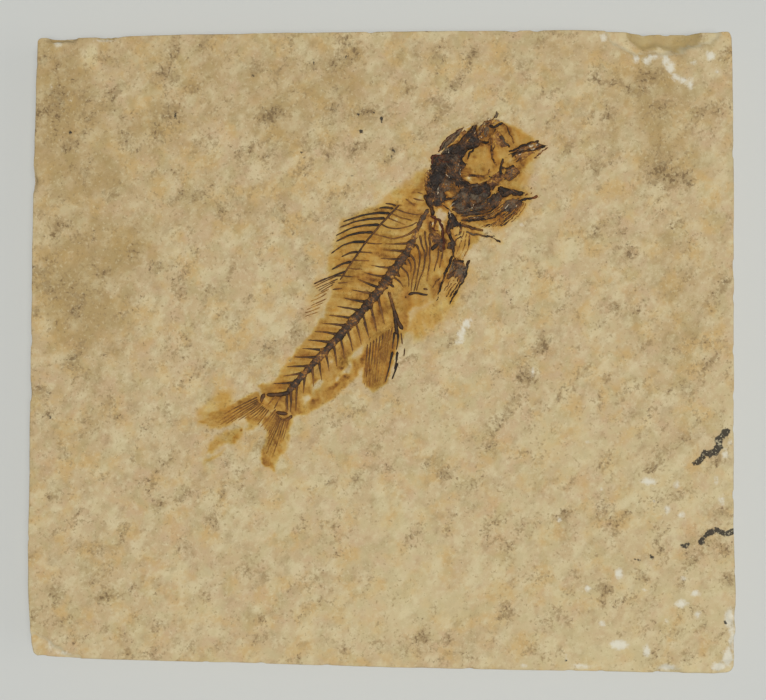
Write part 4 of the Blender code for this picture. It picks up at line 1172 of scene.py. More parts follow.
# %% Tail lines
UPPER_RAYS = strokes(
    (-4.4, 3.8, -7.2, 5.2, -10, 6.4, -12.9, 7.6), (-4.7, 3.5, -8.6, 5.2, -13.2, 6.9),
    (-4.8, 3.2, -8.8, 4.7, -13.4, 6.2), (-4.9, 2.9, -8.2, 4, -12.6, 5.4),
    (-5, 2.6, -8, 3.6, -11.8, 4.8), (-5, 2.3, -7.8, 3, -10.4, 3.9), (-5, 1.9, -7.2, 2.4, -9.4, 3.1),
    (-5, 1.55, -7, 1.8, -8.9, 2.3), (-5, 1.2, -6.8, 1.3, -8.6, 1.6), (-5, 0.8, -6.8, 0.8, -8.6, 1),
    (-4.9, 0.45, -6.8, 0.35, -8.8, 0.4),
)
LOWER_RAYS = strokes(
    (-4, -0.6, -6.2, -0.6, -8.8, -0.4), (-4.2, -1, -6.4, -1.15, -8.9, -1.3),
    (-4.3, -1.3, -6.4, -1.6, -8.6, -2), (-4.4, -1.6, -6.6, -2, -8.8, -2.5),
    (-4.5, -1.9, -7, -2.5, -9.6, -3), (-4.5, -2.2, -7.6, -3, -11, -3.8),
    (-4.5, -2.5, -8, -3.5, -12.2, -4.7), (-4.4, -2.8, -8, -4.1, -12.2, -5.4),
    (-4.3, -3.1, -7.8, -4.5, -11.5, -5.9), (-3.9, -3.4, -7, -4.7, -10.2, -5.9),
    (-3.4, -3.6, -5.6, -4.6, -8.2, -5.7),
)
TAIL_BASES = strokes(
    (-2.9, 3.1, -3.8, 3.1, -4.8, 2.5), (-4.4, -1, -4, -1.9, -3.2, -3),
    (-2.9, -3.9, -3.8, -3.8, -4.8, -3.3),
)
HYPURAL_RODS = strokes(
    (-0.9, -0.7, -2, -1.7, -3.2, -2.6), (-1.6, 1, -3, 1.2, -4.2, 1.2),
    (-1.2, 0.1, -2.8, 0, -4.2, -0.3),
)
TAIL_BONES = (
    lines(UPPER_RAYS, 0.16, 0.09, 0.5, 0.14)
    + lines(LOWER_RAYS, 0.17, 0.09, 0.5, 0.1)
    + lines(TAIL_BASES, 0.42, 0.38, 0.62, 0.52)
    + lines(HYPURAL_RODS, 0.18, 0.14, 0.45, 0.3)
)
print(len(BACKBONE_BONES) + 1, "bones in the backbone,", len(DORSAL_BONES), "in the back fin,",
      len(ANAL_BONES), "in the anal fin and", len(TAIL_BONES), "in the tail")


# %% Skull lines
# The colours of the layers: how dark, red, grey (dust and painted highlight) and pale each one is
PITCH = (0.94, 0.0, 0.1, 0.0)
DARK = (0.85, 0.0, 0.2, 0.0)
DRAB = (0.8, 0.0, 0.5, 0.0)
# ASH is grey, partly dust and partly painted highlight
ASH = (0.6, 0.0, 1.1, 0.15)
MAROON = (0.8, 0.6, 0.0, 0.0)
BROWN = (0.55, 0.1, 0.1, 0.0)
TAWNY = (0.34, 0.1, 0.0, 0.0)
CHIP = (0.2, 0.0, 0.2, 1.1)
# Each plate: its outline, how far it rises in mm, and its colours
SKULL_PLATES = shapes(
    ((46.1, -0.9, 46.8, -0.8, 47.3, 0.2, 48.3, -0.9, 50, -1, 51, 0.2, 52.6, 1, 53.4, -0.2, 53.8,
      -2.2, 55, -2, 55.1, -0.6, 56.5, 0.1, 58.1, 0.2, 58.2, 1.6, 60.5, 2, 60, 3.6, 58.6, 4.8, 57.3,
      5.3, 56.3, 5.1, 56, 6, 55.2, 6.6, 54.8, 6.7, 54.3, 5.9, 52.6, 5.1, 51.3, 4.4, 50.2, 3.8, 49.2,
      3.6, 48.4, 2.4, 47.9, 2.9, 47.3, 2.2, 47, 0.9), 0.32, DARK),
    ((49.7, 1.9, 51.6, 2.3, 53.6, 1.8, 55.6, 3.2, 55.4, 4.4, 53.4, 4.6, 51.4, 3.9, 50, 3.2), 0.45,
     PITCH),
    ((48.2, 1.5, 50, 1.5, 51.2, 2.1, 52.6, 1.6, 53.1, 0.3, 52.2, -0.6, 51, 0.4, 50, -0.4, 48.8,
      -0.3), 0.42, DRAB),
    ((53.4, 1.9, 54.6, 1.6, 55.6, 2, 56.4, 3.4, 57.6, 3, 57.8, 1.4, 56, 0.7, 54.4, 0.9), 0.4, DRAB),
    ((49.7, -2.6, 51, -2.7, 52.6, -2.3, 54, -1.7, 55, -1.9, 55.2, -3, 56.4, -4.2, 57.8, -5.1, 57.6,
      -6.2, 56.6, -7.1, 54.5, -7.1, 53.2, -6.6, 51.4, -5.6, 50.1, -4.8), 0.4, DRAB),
    ((54, -4.4, 55, -3.4, 56.4, -4.5, 57.7, -5.2, 57.4, -6, 55.6, -6, 54.6, -5.4), 0.6, PITCH),
    ((49.6, -2.8, 50.6, -2.4, 51.6, -2.9, 51, -3.4, 50, -3.3), 0.5, DARK),
    ((56.5, 6.15, 58.3, 6.45, 60, 6.35, 61.6, 6, 63.5, 5.25, 62, 5, 60, 5.1, 58.4, 5.5, 57.2, 5.8),
     0.35, ASH),
    ((57.6, 4.8, 59, 5, 60.4, 4.2, 63, 4.15, 64.8, 3.95, 65.4, 3.3, 64.3, 2.6, 63.7, 1.7, 63.4, 0.6,
      62, 0.7, 60.8, 1.7, 59.2, 2.6, 57.8, 3.4), 0.5, PITCH),
    ((61.4, 4.7, 62.4, 5, 63.3, 4.7, 63.1, 4.2, 61.8, 4.2), 0.22, TAWNY),
    ((57, 5.4, 58.2, 5.5, 58, 4.8, 57, 4.6, 56.4, 5), 0.28, ASH),
    ((47.2, 0.7, 48.6, 0.3, 48.4, -0.6, 47.4, -0.8), 0.14, TAWNY),
    ((63.9, 2.2, 65.2, 2.6, 66.8, 2.8, 67.9, 2.2, 68.4, 1.2, 67.2, 0.8, 66.4, 1, 65.2, 0.4, 64.1,
      0.6), 0.13, (0.34, 0.1, 0.5, 0.1)),
    ((65.2, -5.3, 67.4, -6.3, 70.4, -8, 70.8, -9.9, 69, -9.4, 67.4, -8.5, 65.3, -7.7), 0.13, (0.36,
      0.2, 0.3, 0)),
    ((57.5, -5, 59.5, -5.3, 61, -5.6, 61.1, -7, 59, -7.5, 57.6, -7.1), 0.13, (0.42, 0.3, 0.1, 0)),
    ((60.6, -7.2, 62, -6.7, 63.7, -7.2, 63.8, -9, 62, -9, 60.7, -8.6), 0.12, (0.38, 0.1, 0.3, 0)),
    ((65.4, -0.5, 67.2, -0.4, 67, -1.9, 66.2, -4, 65.2, -3.4, 64.8, -1.6), 0.12, (0.3, 0.3, 0, 0)),
    ((49.4, 3.6, 50.8, 4.5, 52.3, 5.4, 53.6, 5.6, 53.4, 5, 51.6, 4.2, 50.2, 3.4), 0.14, (0.4, 0.2,
      0.1, 0)),
)
# Each strut: its line, its half width at both ends, its rise and its colours
SKULL_STRUTS = shapes(
    ((57.3, 5.9, 58.6, 6.1, 60.4, 5.9, 61.8, 5.5), 0.1, 0.1, 0.5, DARK),
    ((58.4, 5.5, 60, 5.35, 61.8, 5.2), 0.12, 0.1, 0.5, DARK),
    ((55.9, 6, 56.5, 5.6), 0.2, 0.16, 0.4, CHIP), ((67.7, 2.4, 68.7, 2.1), 0.14, 0.12, 0.2, CHIP),
    ((63.5, 4.9, 64.6, 4.3), 0.12, 0.1, 0.2, CHIP), ((56.9, 0.9, 57.6, 1.7), 0.16, 0.1, 0.5, BROWN),
    ((68.9, -7.6, 69.3, -7.9), 0.18, 0.14, 0.46, CHIP),
    ((50.8, 1.2, 51.5, 1.9), 0.16, 0.12, 0.5, BROWN),
    ((56.6, 6.1, 58.4, 6.5, 60.4, 6.3, 62.2, 5.6, 63.3, 5.3), 0.18, 0.14, 0.45, MAROON),
    ((54, 5.6, 54.9, 6.4, 55.9, 5.8, 56.4, 4.9), 0.3, 0.2, 0.5, MAROON),
    ((48.4, 2.5, 49.6, 3, 50.8, 4.1), 0.2, 0.3, 0.3, (0.5, 0.3, 0.2, 0)),
    ((49.6, 3.7, 51, 4.9, 52.2, 5.5), 0.4, 0.2, 0.16, TAWNY),
    ((53.6, 5.2, 54.6, 3.8, 55, 2.6), 0.3, 0.2, 0.55, DARK),
    ((55.4, 5.2, 55.6, 4, 56.2, 3), 0.25, 0.2, 0.5, MAROON),
    ((46.2, -0.7, 46.8, 0.2, 47.3, 1.6, 47.8, 2.7), 0.4, 0.3, 0.5, PITCH),
    ((53.2, 1.6, 53.9, 0.2, 54.4, -1.2, 54.6, -3.2), 0.4, 0.3, 0.55, DARK),
    ((50, -1, 50.8, -1.6, 51.8, -2.3, 53.6, -2.4), 0.35, 0.3, 0.32, DRAB),
    ((48.6, -0.6, 48.7, -1.8, 48.9, -3.2), 0.2, 0.14, 0.22, BROWN),
    ((59.2, 0.65, 60.3, 1.1, 62, 0.8, 63.4, 0.7), 0.16, 0.24, 0.4, DARK),
    ((58, 1.6, 59.2, 1.85, 60.6, 1.9, 61.6, 1.4), 0.26, 0.3, 0.45, PITCH),
    ((63.2, 1, 63.7, 0.1, 64.2, -0.6), 0.34, 0.26, 0.45, DARK),
    ((64, -0.5, 65.2, -0.3, 66.4, -0.05, 67.2, 0.1), 0.2, 0.16, 0.2, BROWN),
    ((65.4, -0.5, 63.8, -1.6, 62.5, -2.8, 61.9, -3.8, 61.7, -4.8), 0.24, 0.16, 0.3, BROWN),
    ((65.8, -1.1, 64.4, -2, 63.2, -2.5, 62.5, -3.2), 0.15, 0.12, 0.2, TAWNY),
    ((63.8, 1.6, 64.4, 0.7, 65.3, 0.8, 66.1, 1.2, 66.5, 1.7), 0.18, 0.2, 0.26, BROWN),
    ((65.1, 1.05, 65.7, 1.25, 66.2, 1.3), 0.3, 0.3, 0.36, ASH),
    ((65, 2.3, 66, 2.55, 66.9, 2.75, 67.6, 2.1, 68.4, 1.6, 69, 1.6), 0.16, 0.15, 0.26, BROWN),
    ((65.6, 1.9, 66.6, 2, 67.4, 1.6), 0.14, 0.12, 0.2, TAWNY),
    # Painted highlight: a pale grey spot at the tip of the snout
    ((69, 1.5, 69.4, 1.65, 69.9, 1.8), 0.32, 0.24, 0.4, ASH),
    ((67, 1.3, 67.3, 0.5, 67.9, 0.25, 68.8, -0.25), 0.22, 0.3, 0.36, DARK),
    # Painted highlight: a pale grey spot at the snout
    ((68, 0.9, 68.6, 0.9, 68.9, 0.4), 0.2, 0.2, 0.3, (0.4, 0, 0.3, 0.5)),
    ((68.9, -0.2, 69.1, -1, 68.5, -2.2, 67.8, -3.6, 67.3, -4.6), 0.18, 0.15, 0.28, BROWN),
    ((66.4, -1.8, 66.7, -2.1, 66.3, -3, 66.2, -4.2), 0.34, 0.22, 0.34, DRAB),
    ((66, -2.6, 65.3, -3.1), 0.28, 0.2, 0.28, BROWN),
    ((65.6, -4.9, 66.2, -5.4, 67.4, -6, 68.8, -6.8, 69.9, -7.4, 70.6, -8.1), 0.2, 0.3, 0.4, DARK),
    ((65.4, -5.9, 66, -6.4, 67, -7.1, 68, -7.8), 0.36, 0.24, 0.42, DARK),
    ((68, -7.6, 68.6, -8.5, 69.4, -9, 70.6, -9.7), 0.3, 0.24, 0.42, DARK),
    # Painted highlights: pale grey spots at the front of the lower jaw, here and on the next line
    ((68.5, -8.1, 68.9, -8.4), 0.3, 0.3, 0.45, (0.4, 0, 0.6, 0.6)),
    ((69.5, -7.9, 69.9, -8.3, 70.4, -8.7), 0.24, 0.2, 0.4, (0.4, 0, 0.6, 0.5)),
    ((67.4, -9.8, 69, -10, 70.6, -10.35), 0.12, 0.16, 0.22, (0.5, 0.5, 0, 0)),
    ((65, -6.9, 66.4, -7.4, 68, -7.9), 0.1, 0.14, 0.14, TAWNY),
    ((65.4, -8, 67, -8.4, 68.4, -8.9), 0.1, 0.14, 0.14, TAWNY),
    ((60.3, -6.7, 61.2, -6, 62.4, -5.4, 63.3, -4.8), 0.34, 0.24, 0.36, DARK),
    ((62, -6, 62.7, -7, 63.5, -7.3), 0.24, 0.28, 0.34, DARK),
    ((60.8, -8.4, 62, -8.7, 63.2, -9), 0.2, 0.24, 0.28, BROWN),
    ((60.9, -8.2, 61, -7.5, 61.8, -6.9), 0.14, 0.14, 0.2, TAWNY),
    ((57.6, -5.2, 58.8, -5.6, 60, -6.1), 0.26, 0.2, 0.26, (0.5, 0.3, 0, 0)),
    ((57.4, -6.6, 58.8, -7, 60.2, -7.3, 60.6, -7), 0.3, 0.24, 0.28, BROWN),
    ((55.8, -0.8, 56.8, -1.9, 57.6, -3, 58.3, -4), 0.22, 0.26, 0.3, BROWN),
    ((58.3, -3.9, 59.2, -4.3, 60.3, -4.2), 0.2, 0.12, 0.16, TAWNY),
    ((54.9, -0.6, 55.3, -1.8, 55.4, -3, 56.3, -4), 0.24, 0.2, 0.4, (0.7, 0.3, 0.1, 0)),
)

# %% Throat lines
JAW_PLATES = shapes(
    ((57.3, -9.3, 57.8, -8.2, 58.4, -7.75, 58.9, -8, 59.3, -8.9, 59.8, -10.2, 60.4, -11.4, 60.9,
      -12.4, 60.2, -12.4, 59.4, -11.3, 58.8, -10.4, 57.8, -10.1), 0.5, PITCH),
    ((53.8, -7.9, 56.5, -7.8, 57.9, -8.5, 57.9, -9.7, 56, -9.8, 54.4, -9.3), 0.26, DRAB),
    ((55.4, -10.9, 57, -10.5, 58.5, -11.5, 59.1, -12.6, 59, -13.5, 58.2, -13.6, 57, -12.8, 55.6,
      -11.9), 0.26, DRAB),
    ((49.2, -3.6, 50.4, -4.4, 52.4, -6.2, 54, -7.1, 54.6, -8.2, 53.2, -8.2, 51.2, -6.8, 49.6, -5.2),
     0.16, DRAB),
    ((49, -6.4, 50.6, -7.4, 52.8, -9.4, 52.8, -10.6, 51.4, -9.6, 49.8, -7.8), 0.08, TAWNY),
)
JAW_STRUTS = shapes(
    ((49.2, -3.2, 50.4, -4.6, 51.5, -5.4, 52.6, -6.3, 54, -7, 56.4, -7.2), 0.22, 0.2, 0.36, DARK),
    ((49.4, -4, 50.8, -5.6, 52.4, -7, 53.9, -7.7, 55.6, -7.8), 0.12, 0.12, 0.26, DRAB),
    ((49.3, -4.5, 50.5, -5.9, 52, -7.2, 53.4, -8, 55.6, -8.3), 0.18, 0.16, 0.32, DARK),
    ((50, -5.7, 51.4, -7.2, 53, -8.6, 55, -9.2), 0.12, 0.12, 0.24, DRAB),
    ((49.3, -5.5, 50.8, -7.1, 52.2, -8.4, 53.6, -9.3, 55.8, -9.9), 0.18, 0.14, 0.3, DARK),
    ((48.7, -6.1, 49.6, -7.2, 50.8, -8.6, 52, -9.9, 53.2, -10.8, 55, -11.3, 57, -11.9), 0.2, 0.16,
     0.32, DARK),
    ((50.1, -9.9, 51.6, -11, 53, -11.6, 55, -11.9, 57, -12.5), 0.1, 0.14, 0.24, BROWN),
    ((53, -9.7, 54.4, -10, 56, -10.2), 0.12, 0.1, 0.24, BROWN),
    ((53, -12, 55, -12.4, 57, -12.8, 58.3, -13.2), 0.1, 0.13, 0.22, BROWN),
    ((52.7, -12.9, 54.5, -13, 57, -13.4, 58.6, -13.7), 0.1, 0.13, 0.22, BROWN),
    ((53.2, -13.4, 55, -13.6, 57.5, -14, 59.3, -13.7), 0.09, 0.1, 0.18, TAWNY),
    ((54.5, -14, 56.5, -14.4, 58.6, -14.3, 60, -13.6), 0.08, 0.09, 0.14, TAWNY),
    ((58.2, -12.5, 59.2, -12.9, 60, -13.5, 60.8, -14.2), 0.34, 0.26, 0.4, PITCH),
    ((60.6, -14, 61.3, -14.6, 61.9, -14.8), 0.24, 0.24, 0.34, (0.5, 0.7, 0, 0)),
    ((60.7, -12.8, 61, -12.9), 0.2, 0.16, 0.24, (0.6, 0.8, 0, 0)),
    ((61.5, -13.5, 61.9, -13.5), 0.12, 0.12, 0.16, BROWN),
    ((62.2, -12.8, 62.6, -12.9), 0.12, 0.12, 0.16, BROWN),
)
# Folds of the throat and gill cover: the first fold, the last one, and how many there are
FOLDS = (
    (((50.2, -4.6), (52.4, -6.4), (54.6, -7.5), (57.0, -7.8)),
     ((49.0, -6.6), (51.0, -9.0), (53.4, -10.7), (56.6, -11.4)), 9),
    (((50.6, -10.6), (53.2, -11.7), (56.0, -12.2), (58.2, -12.8)),
     ((52.8, -13.1), (55.0, -13.6), (57.0, -13.8), (58.8, -13.5)), 6),
)
FOLD_TONES = (DARK, DRAB, BROWN)


def between(first, last, count):
    """Paths spread evenly from the first to the last one."""
    first, last = even_steps(first, 6), even_steps(last, 6)
    return [first + (last - first) * share for share in np.linspace(0, 1, count)]


FOLD_STRUTS = [(path, 0.09, 0.11, 0.2, FOLD_TONES[number % len(FOLD_TONES)])
               for fold in FOLDS for number, path in enumerate(between(*fold))]

# %% Shoulder lines
SHOULDER_PLATES = shapes(
    ((48.6, -2.9, 48.1, -3.2, 47.2, -3.8, 46.5, -4.1, 45.5, -4.8, 45.9, -5.4, 47, -5.9, 47.5, -6.7,
      48.1, -7, 48.2, -5.4, 48.5, -4.2), 0.42, PITCH),
    ((42.2, -2.7, 43.7, -3, 43.7, -4.6, 42.9, -6, 41.9, -6.9, 41.2, -6.8, 41.7, -5.4, 41.9, -4),
     0.2, BROWN),
    ((42.7, -7.2, 43.6, -6.8, 44.6, -7.2, 44.4, -8, 43.4, -8.4, 42.7, -8.1), 0.3, DARK),
)
SHOULDER_STRUTS = shapes(
    ((47.7, -6.2, 48.4, -7.6, 49, -9, 49.6, -10.5), 0.42, 0.26, 0.36, BROWN),
    ((47.5, -8.3, 48.3, -10.2, 49.2, -11.6, 49.8, -13, 50.1, -14.7), 0.26, 0.12, 0.34, DRAB),
    ((49.3, -12.2, 50.4, -13.3), 0.12, 0.1, 0.26, ASH),
    ((45.9, -4.7, 45, -6, 44.3, -7.2, 43.2, -8.2, 42.1, -9.2), 0.42, 0.2, 0.34, DARK),
    ((43.4, -8.3, 45, -7.7, 46, -8), 0.24, 0.16, 0.22, BROWN),
    ((44.6, -1.5, 44, -2, 43.8, -3, 44.2, -3.6), 0.2, 0.16, 0.3, MAROON),
    ((45, -2.2, 45.7, -1.9, 46, -2.6, 45.5, -3.5, 44.4, -4.7, 43, -6, 42.2, -6.9), 0.3, 0.24, 0.42,
     MAROON),
    ((43.8, -2.9, 44.6, -2.5, 45.2, -2.2), 0.14, 0.16, 0.3, MAROON),
    ((45.6, -0.8, 45.9, -1.6), 0.26, 0.24, 0.36, MAROON),
    ((45.9, -4.4, 45.2, -5, 44.6, -5.9), 0.16, 0.14, 0.3, MAROON),
    ((40.7, -5.15, 41.8, -5.35), 0.38, 0.3, 0.36, PITCH),
    ((47.2, -7.7, 45, -8.8, 42.6, -9.5), 0.16, 0.12, 0.12, TAWNY),
    ((47.4, -8.4, 45.2, -9.7, 42.6, -10.3), 0.18, 0.12, 0.12, TAWNY),
    ((47.6, -9, 45.5, -10.5, 42.8, -11), 0.18, 0.12, 0.12, TAWNY),
    ((47.4, -6.9, 46.4, -7.4, 45.4, -7), 0.3, 0.16, 0.16, TAWNY),
)

# %% Belly fin lines
PELVIC_PLATES = shapes(
    ((38.6, -10.6, 40, -10.2, 41.6, -9.6, 42.2, -10.4, 42.4, -11.6, 42, -12.4, 42.3, -12.9, 40.4,
      -13.8, 39.2, -13.6, 39.4, -12.6, 38.8, -11.8), 0.22, (0.5, 0, 0.75, 0)),
    ((37.8, -10.8, 38.6, -10.6, 39.4, -11, 40, -11.2, 39.8, -11.8, 38.8, -11.7, 37.9, -11.3), 0.32,
     DARK),
)
PELVIC_STRUTS = shapes(
    ((41.7, -9.1, 40, -9.7, 38.4, -10.1, 36.5, -10.8, 34.4, -11.6), 0.3, 0.16, 0.34, PITCH),
    ((34.4, -11.6, 33, -12.2), 0.15, 0.08, 0.16, BROWN),
    ((41.6, -9.9, 42, -10.7, 42.4, -11.4), 0.28, 0.3, 0.34, DARK),
    ((43.3, -12.3, 42.5, -12.6, 41.6, -13.1, 40.2, -13.7, 38.4, -14, 36.4, -14.2, 34.2, -14.7), 0.3,
     0.14, 0.34, DARK),
    ((40.4, -13.1, 38.6, -13.4, 36.6, -13.7, 35.3, -13.8), 0.2, 0.12, 0.26, DARK),
    ((39.7, -12.8, 38.7, -12.9), 0.2, 0.15, 0.26, DARK),
    ((38.2, -12.9, 36.5, -13, 34.8, -13.2), 0.17, 0.12, 0.2, BROWN),
    ((39.6, -12.3, 38.8, -12.3), 0.18, 0.13, 0.24, DARK),
    ((38.4, -12.3, 36.8, -12.4, 35.6, -12.5), 0.13, 0.1, 0.14, TAWNY),
    ((38, -11.8, 36.6, -11.9, 35.6, -12), 0.13, 0.1, 0.14, TAWNY),
    ((37.4, -9.9, 36, -9.8, 34.5, -10), 0.16, 0.14, 0.16, TAWNY),
    ((40.2, -10.6, 41, -12, 40.6, -13.2), 0.16, 0.14, 0.28, DRAB),
    ((41, -10.4, 41.5, -11.8, 41.3, -12.8), 0.13, 0.12, 0.26, DRAB),
)

# %% [markdown]
# ## The film of the soft parts
#
# Skin, muscle and gut left an organic film, amber where it is thin and rust where it is
# thick. It is only colour: the sheet under it keeps the relief of the stone. Its extent is a
# set of outlines, each with a strength, whose edges chance makes ragged. Where flakes fell
# away, pale stone shows through. Beside each bone the film is darker.

# %% Extent of the film
# Each stretch of film: its outline, its strength and the width of its soft edge in mm
FILM = shapes(
    ((-4, 0.8, -3.2, 3.6, -2.2, 4.9, -1.2, 4.6, -0.5, 3.5, 3, 3.3, 9, 3.4, 16, 3.5, 19, 4.4, 24,
      5.8, 30, 6.2, 40, 6.2, 46, 5.6, 50, 5.6, 52, 4.6, 49, -3, 47, -8, 42.5, -9.8, 37, -10.2, 32,
      -9.6, 28, -8.8, 24, -8.6, 18, -8.8, 12, -8.9, 6, -8.7, 3, -7.6, 0, -6.2, -2.9, -4.4, -4.2,
      -2), 0.54, 0.5),
    ((12, 3, 13, 6.4, 16, 8, 22, 9.2, 24, 5), 0.12, 1.2),
    ((19.6, 4, 22, 6.4, 24, 8.8, 26, 10, 30, 11.4, 34, 12.6, 38, 10.6, 41, 8.8, 43.4, 8.2, 47, 7.6,
      50, 7.2, 52.4, 6.2, 50, 3), 0.34, 0.8),
    ((24, 5, 27, 9.8, 31, 11.2, 35, 11.2, 39, 8.6, 41, 7.8, 43, 6.8, 46, 5), 0.5, 0.5),
    ((-4, 0.1, -3.6, 4.2, -5, 5.4, -7, 6.3, -10, 7.8, -12, 9, -15.5, 9.9, -15.3, 8, -14.6, 6.6,
      -12.2, 4.7, -10.4, 4.1, -8.8, 3.2, -9.8, 2.2, -10.9, 1.2, -9.4, 0.3), 0.55, 0.45),
    ((-8, 7, -7, 9.6, -9, 11, -14, 11.4, -16.2, 9.6, -15, 7), 0.28, 1),
    ((-4, 0, -8, 0, -8.8, -2.1, -12, -3.3, -13.9, -4.6, -14.1, -6.2, -14, -7.9, -12.6, -7.7, -10.4,
      -6.8, -8.8, -7.4, -6.8, -6.2, -5.4, -4.9, -3, -4.2), 0.55, 0.45),
    ((-12.4, 1.6, -11.2, 2.4, -13, 3.8, -15, 5, -17.6, 5.6, -19.4, 5, -19, 4, -16.6, 3.6, -15.4,
      3.2, -15, 2, -13.6, 1.7), 0.4, 0.6),
    ((-21.4, 3.8, -20.4, 3.9, -18.4, 3.2, -16.6, 2.6, -17.6, 2.4, -20.4, 3), 0.34, 0.6),
    ((29, -8, 25.6, -11, 21, -11.6, 17, -13.6, 13.8, -14.4, 11.2, -13.6, 10.8, -11, 14, -8.6, 18,
      -6.6), 0.6, 0.5),
    ((28, -8, 30, -10.2, 33, -11.8, 37, -12, 41, -11.4, 43, -10.4, 47, -10.8, 50, -10.4, 50, -6, 40,
      -7), 0.54, 0.7),
    ((25, -10.6, 29, -10.6, 34, -11.4, 41, -11.6, 41.6, -13.2, 37, -14.8, 34.6, -16, 28, -15.6, 24,
      -13.6), 0.34, 1.5),
    ((47, 1, 50, 4.4, 54, 5.6, 58, 5.6, 62, 4.6, 64.6, 3.4, 66.6, 2.2, 68.8, 0.6, 69.6, -1.4, 70,
      -3.4, 70.4, -6.8, 69.4, -9.2, 66.8, -9.6, 64.6, -9.9, 63.2, -10.8, 61.2, -11.4, 59.4, -13.2,
      56, -14, 52.8, -12.8, 50.4, -10, 48, -7), 0.62, 0.5),
    ((48, -8, 51, -11.6, 53, -13.8, 56, -14.7, 60.4, -14.4, 62.4, -12, 66, -10.4, 69.8, -8.6, 66,
      -6), 0.3, 0.8),
)
# Where the film flaked off, in the fish's plane: middle, reach, turn in degrees where there is
# one, strength
FLAKED = (
    (1.4, -4.3, 1.8, 1, 1), (5, -4.2, 2.4, 1, 1.1), (8.4, -6.4, 1.3, 0.8, 0.9),
    (11.2, -6.9, 2.2, 1, 1), (10.2, -3.2, 0.9, 0.9, 0.7), (15, -6.2, 3.4, 1.2, 0.9),
    (0.9, 3.7, 1.2, 0.8, 1), (57.9, -2, 0.6, 0.6, 0.3), (46.9, -2, 1.3, 2, 1.4),
    (47.7, -1.2, 0.8, 0.8, 1.2), (45.3, -3.6, 1.6, 0.7, 45, 1.5), (44.4, -2, 0.6, 0.5, 1.5),
    (45.5, -5.4, 1.5, 0.6, 50, 0.9), (38.6, -0.8, 0.7, 0.6, 0.4), (51.6, -0.9, 0.8, 0.6, 0.3),
    (-10.2, 3.4, 1.2, 0.6, 0.6), (31.5, 1, 1.6, 2.4, 0.35), (40.8, 4.3, 0.7, 0.8, 0.6),
    (29, 7.6, 2, 1.2, -40, 0.4), (25.7, 2, 1.2, 2, 0.3), (46.9, 3.4, 0.8, 1, 0.5),
    (36, -8.6, 3.2, 0.9, 10, 0.2), (31, 4.8, 6, 2.6, 0.13), (60.6, -2, 2.6, 2.6, 0.22),
    (61.4, -3.2, 1, 1.5, 20, 0.26), (59.7, 0.2, 0.9, 0.7, 0.24), (60.4, -5.6, 0.8, 0.6, 0.6),
    (64.2, -6, 1, 0.5, 0.5), (56.2, -2.2, 1.1, 0.9, -30, 0.8), (57.2, -4.3, 0.9, 0.6, -30, 0.35),
    (67.6, -4.6, 3.4, 4.6, 0.25), (63.4, -10.2, 3, 1.4, 0.2),
)
# Where the film is thick and dark, in the same way
THICK = (
    (2.6, -5.7, 1.6, 0.9, 0.3), (6.4, -6.8, 2.2, 1, 0.4), (9.8, -7.7, 1.2, 0.7, 0.35),
    (10.6, -6, 1.2, 0.8, 0.35), (5, -3.2, 2.2, 0.8, 0.28), (15, -7.8, 3, 0.9, 0.22),
    (-1.8, 4.6, 1.1, 0.6, 0.3), (43.6, -1.8, 1.6, 2, 0.45), (42.6, -5.6, 2, 1.8, -40, 0.4),
    (38, -4.2, 4.6, 2, -35, 0.18), (28.6, 0.9, 1.8, 2, 0.14), (33, 3.6, 3.6, 1.6, 0.06),
    (44.5, 4, 1.8, 2.4, 0.18), (29.6, -6.4, 2.2, 1.2, 0.14), (25.4, -5.6, 2.2, 2.2, 0.16),
    (-11.6, 2.2, 0.5, 0.5, 0.9), (-13.8, 2.1, 1.5, 0.4, 0.4), (-13.4, -5.2, 0.8, 1, 0.15),
    (17.4, -10, 3, 2.6, -40, 0.16), (44.6, -9.2, 3, 1.2, 0.22), (45.6, -10.9, 3, 0.5, 0.2),
    (59, -5.6, 2.4, 0.7, -10, 0.25), (61.4, -5.9, 1.3, 0.6, 0.2), (64.5, -8.5, 3.4, 0.7, 0.18),
    (60.4, -0.4, 1.2, 0.6, 0.14), (57.4, -3.6, 1.4, 1, -30, 0.2), (22.5, -4.8, 6.5, 2.4, 0.22),
    (49.6, 5, 3, 0.9, 25, 0.2), (46.4, 5.2, 2.6, 1.3, 0.16), (-2.2, 0.2, 1.6, 2.2, 0.16),
    (52, 0.4, 5, 4, 0.24), (53, -7, 4.8, 3.2, -35, 0.26), (55.6, -11.6, 3.6, 1.6, 0.16),
)
FILM_DEPTH = 0.94
FILM_THERE = (0.12, 0.45)  # strengths between which mottle and streaks set in
FILM_MOTTLE = 0.07
FILM_STREAK = 0.12
STREAK_SLANT = 0.62  # mm towards the tail for each mm away from the backbone
EDGE_RAGGED = 0.35
EDGE_WAVE = 1.4
FLAKE_EDGE = 1.3  # above 1, a flaked spot is wholly bare in its middle
HALO = 0.8  # mm over which the film is darker beside a bone
HALO_STRENGTH = 0.14
MASS_REACH = 0.9  # and beside the crushed head
MASS_STRENGTH = 0.24
ALL_BONES = BACKBONE_BONES + DORSAL_BONES + ANAL_BONES + TAIL_BONES


def halo_strength(u, v):
    """How much darker the film is beside the bones: by a bone's darkness, fading with the
    distance to it."""
    return strongest((dark_root + dark_tip) / 2 * soft_step(HALO - to_path(u, v, path), 0, HALO)
                     for path, _, _, dark_root, dark_tip in ALL_BONES)


def mass_strength(u, v):
    """The same beside the crushed masses: their plates and struts."""
    plates = SKULL_PLATES + JAW_PLATES + SHOULDER_PLATES + PELVIC_PLATES
    struts = SKULL_STRUTS + JAW_STRUTS + SHOULDER_STRUTS + PELVIC_STRUTS
    beside_plates = strongest(tone[0] * soft_step(inside(u, v, outline), -MASS_REACH, 0.2)
                              for outline, _, tone in plates)
    beside_struts = strongest(
        tone[0] * soft_step(MASS_REACH - to_path(u, v, path), 0, MASS_REACH)
        for path, *_, tone in struts)
    return np.maximum(beside_plates, beside_struts)


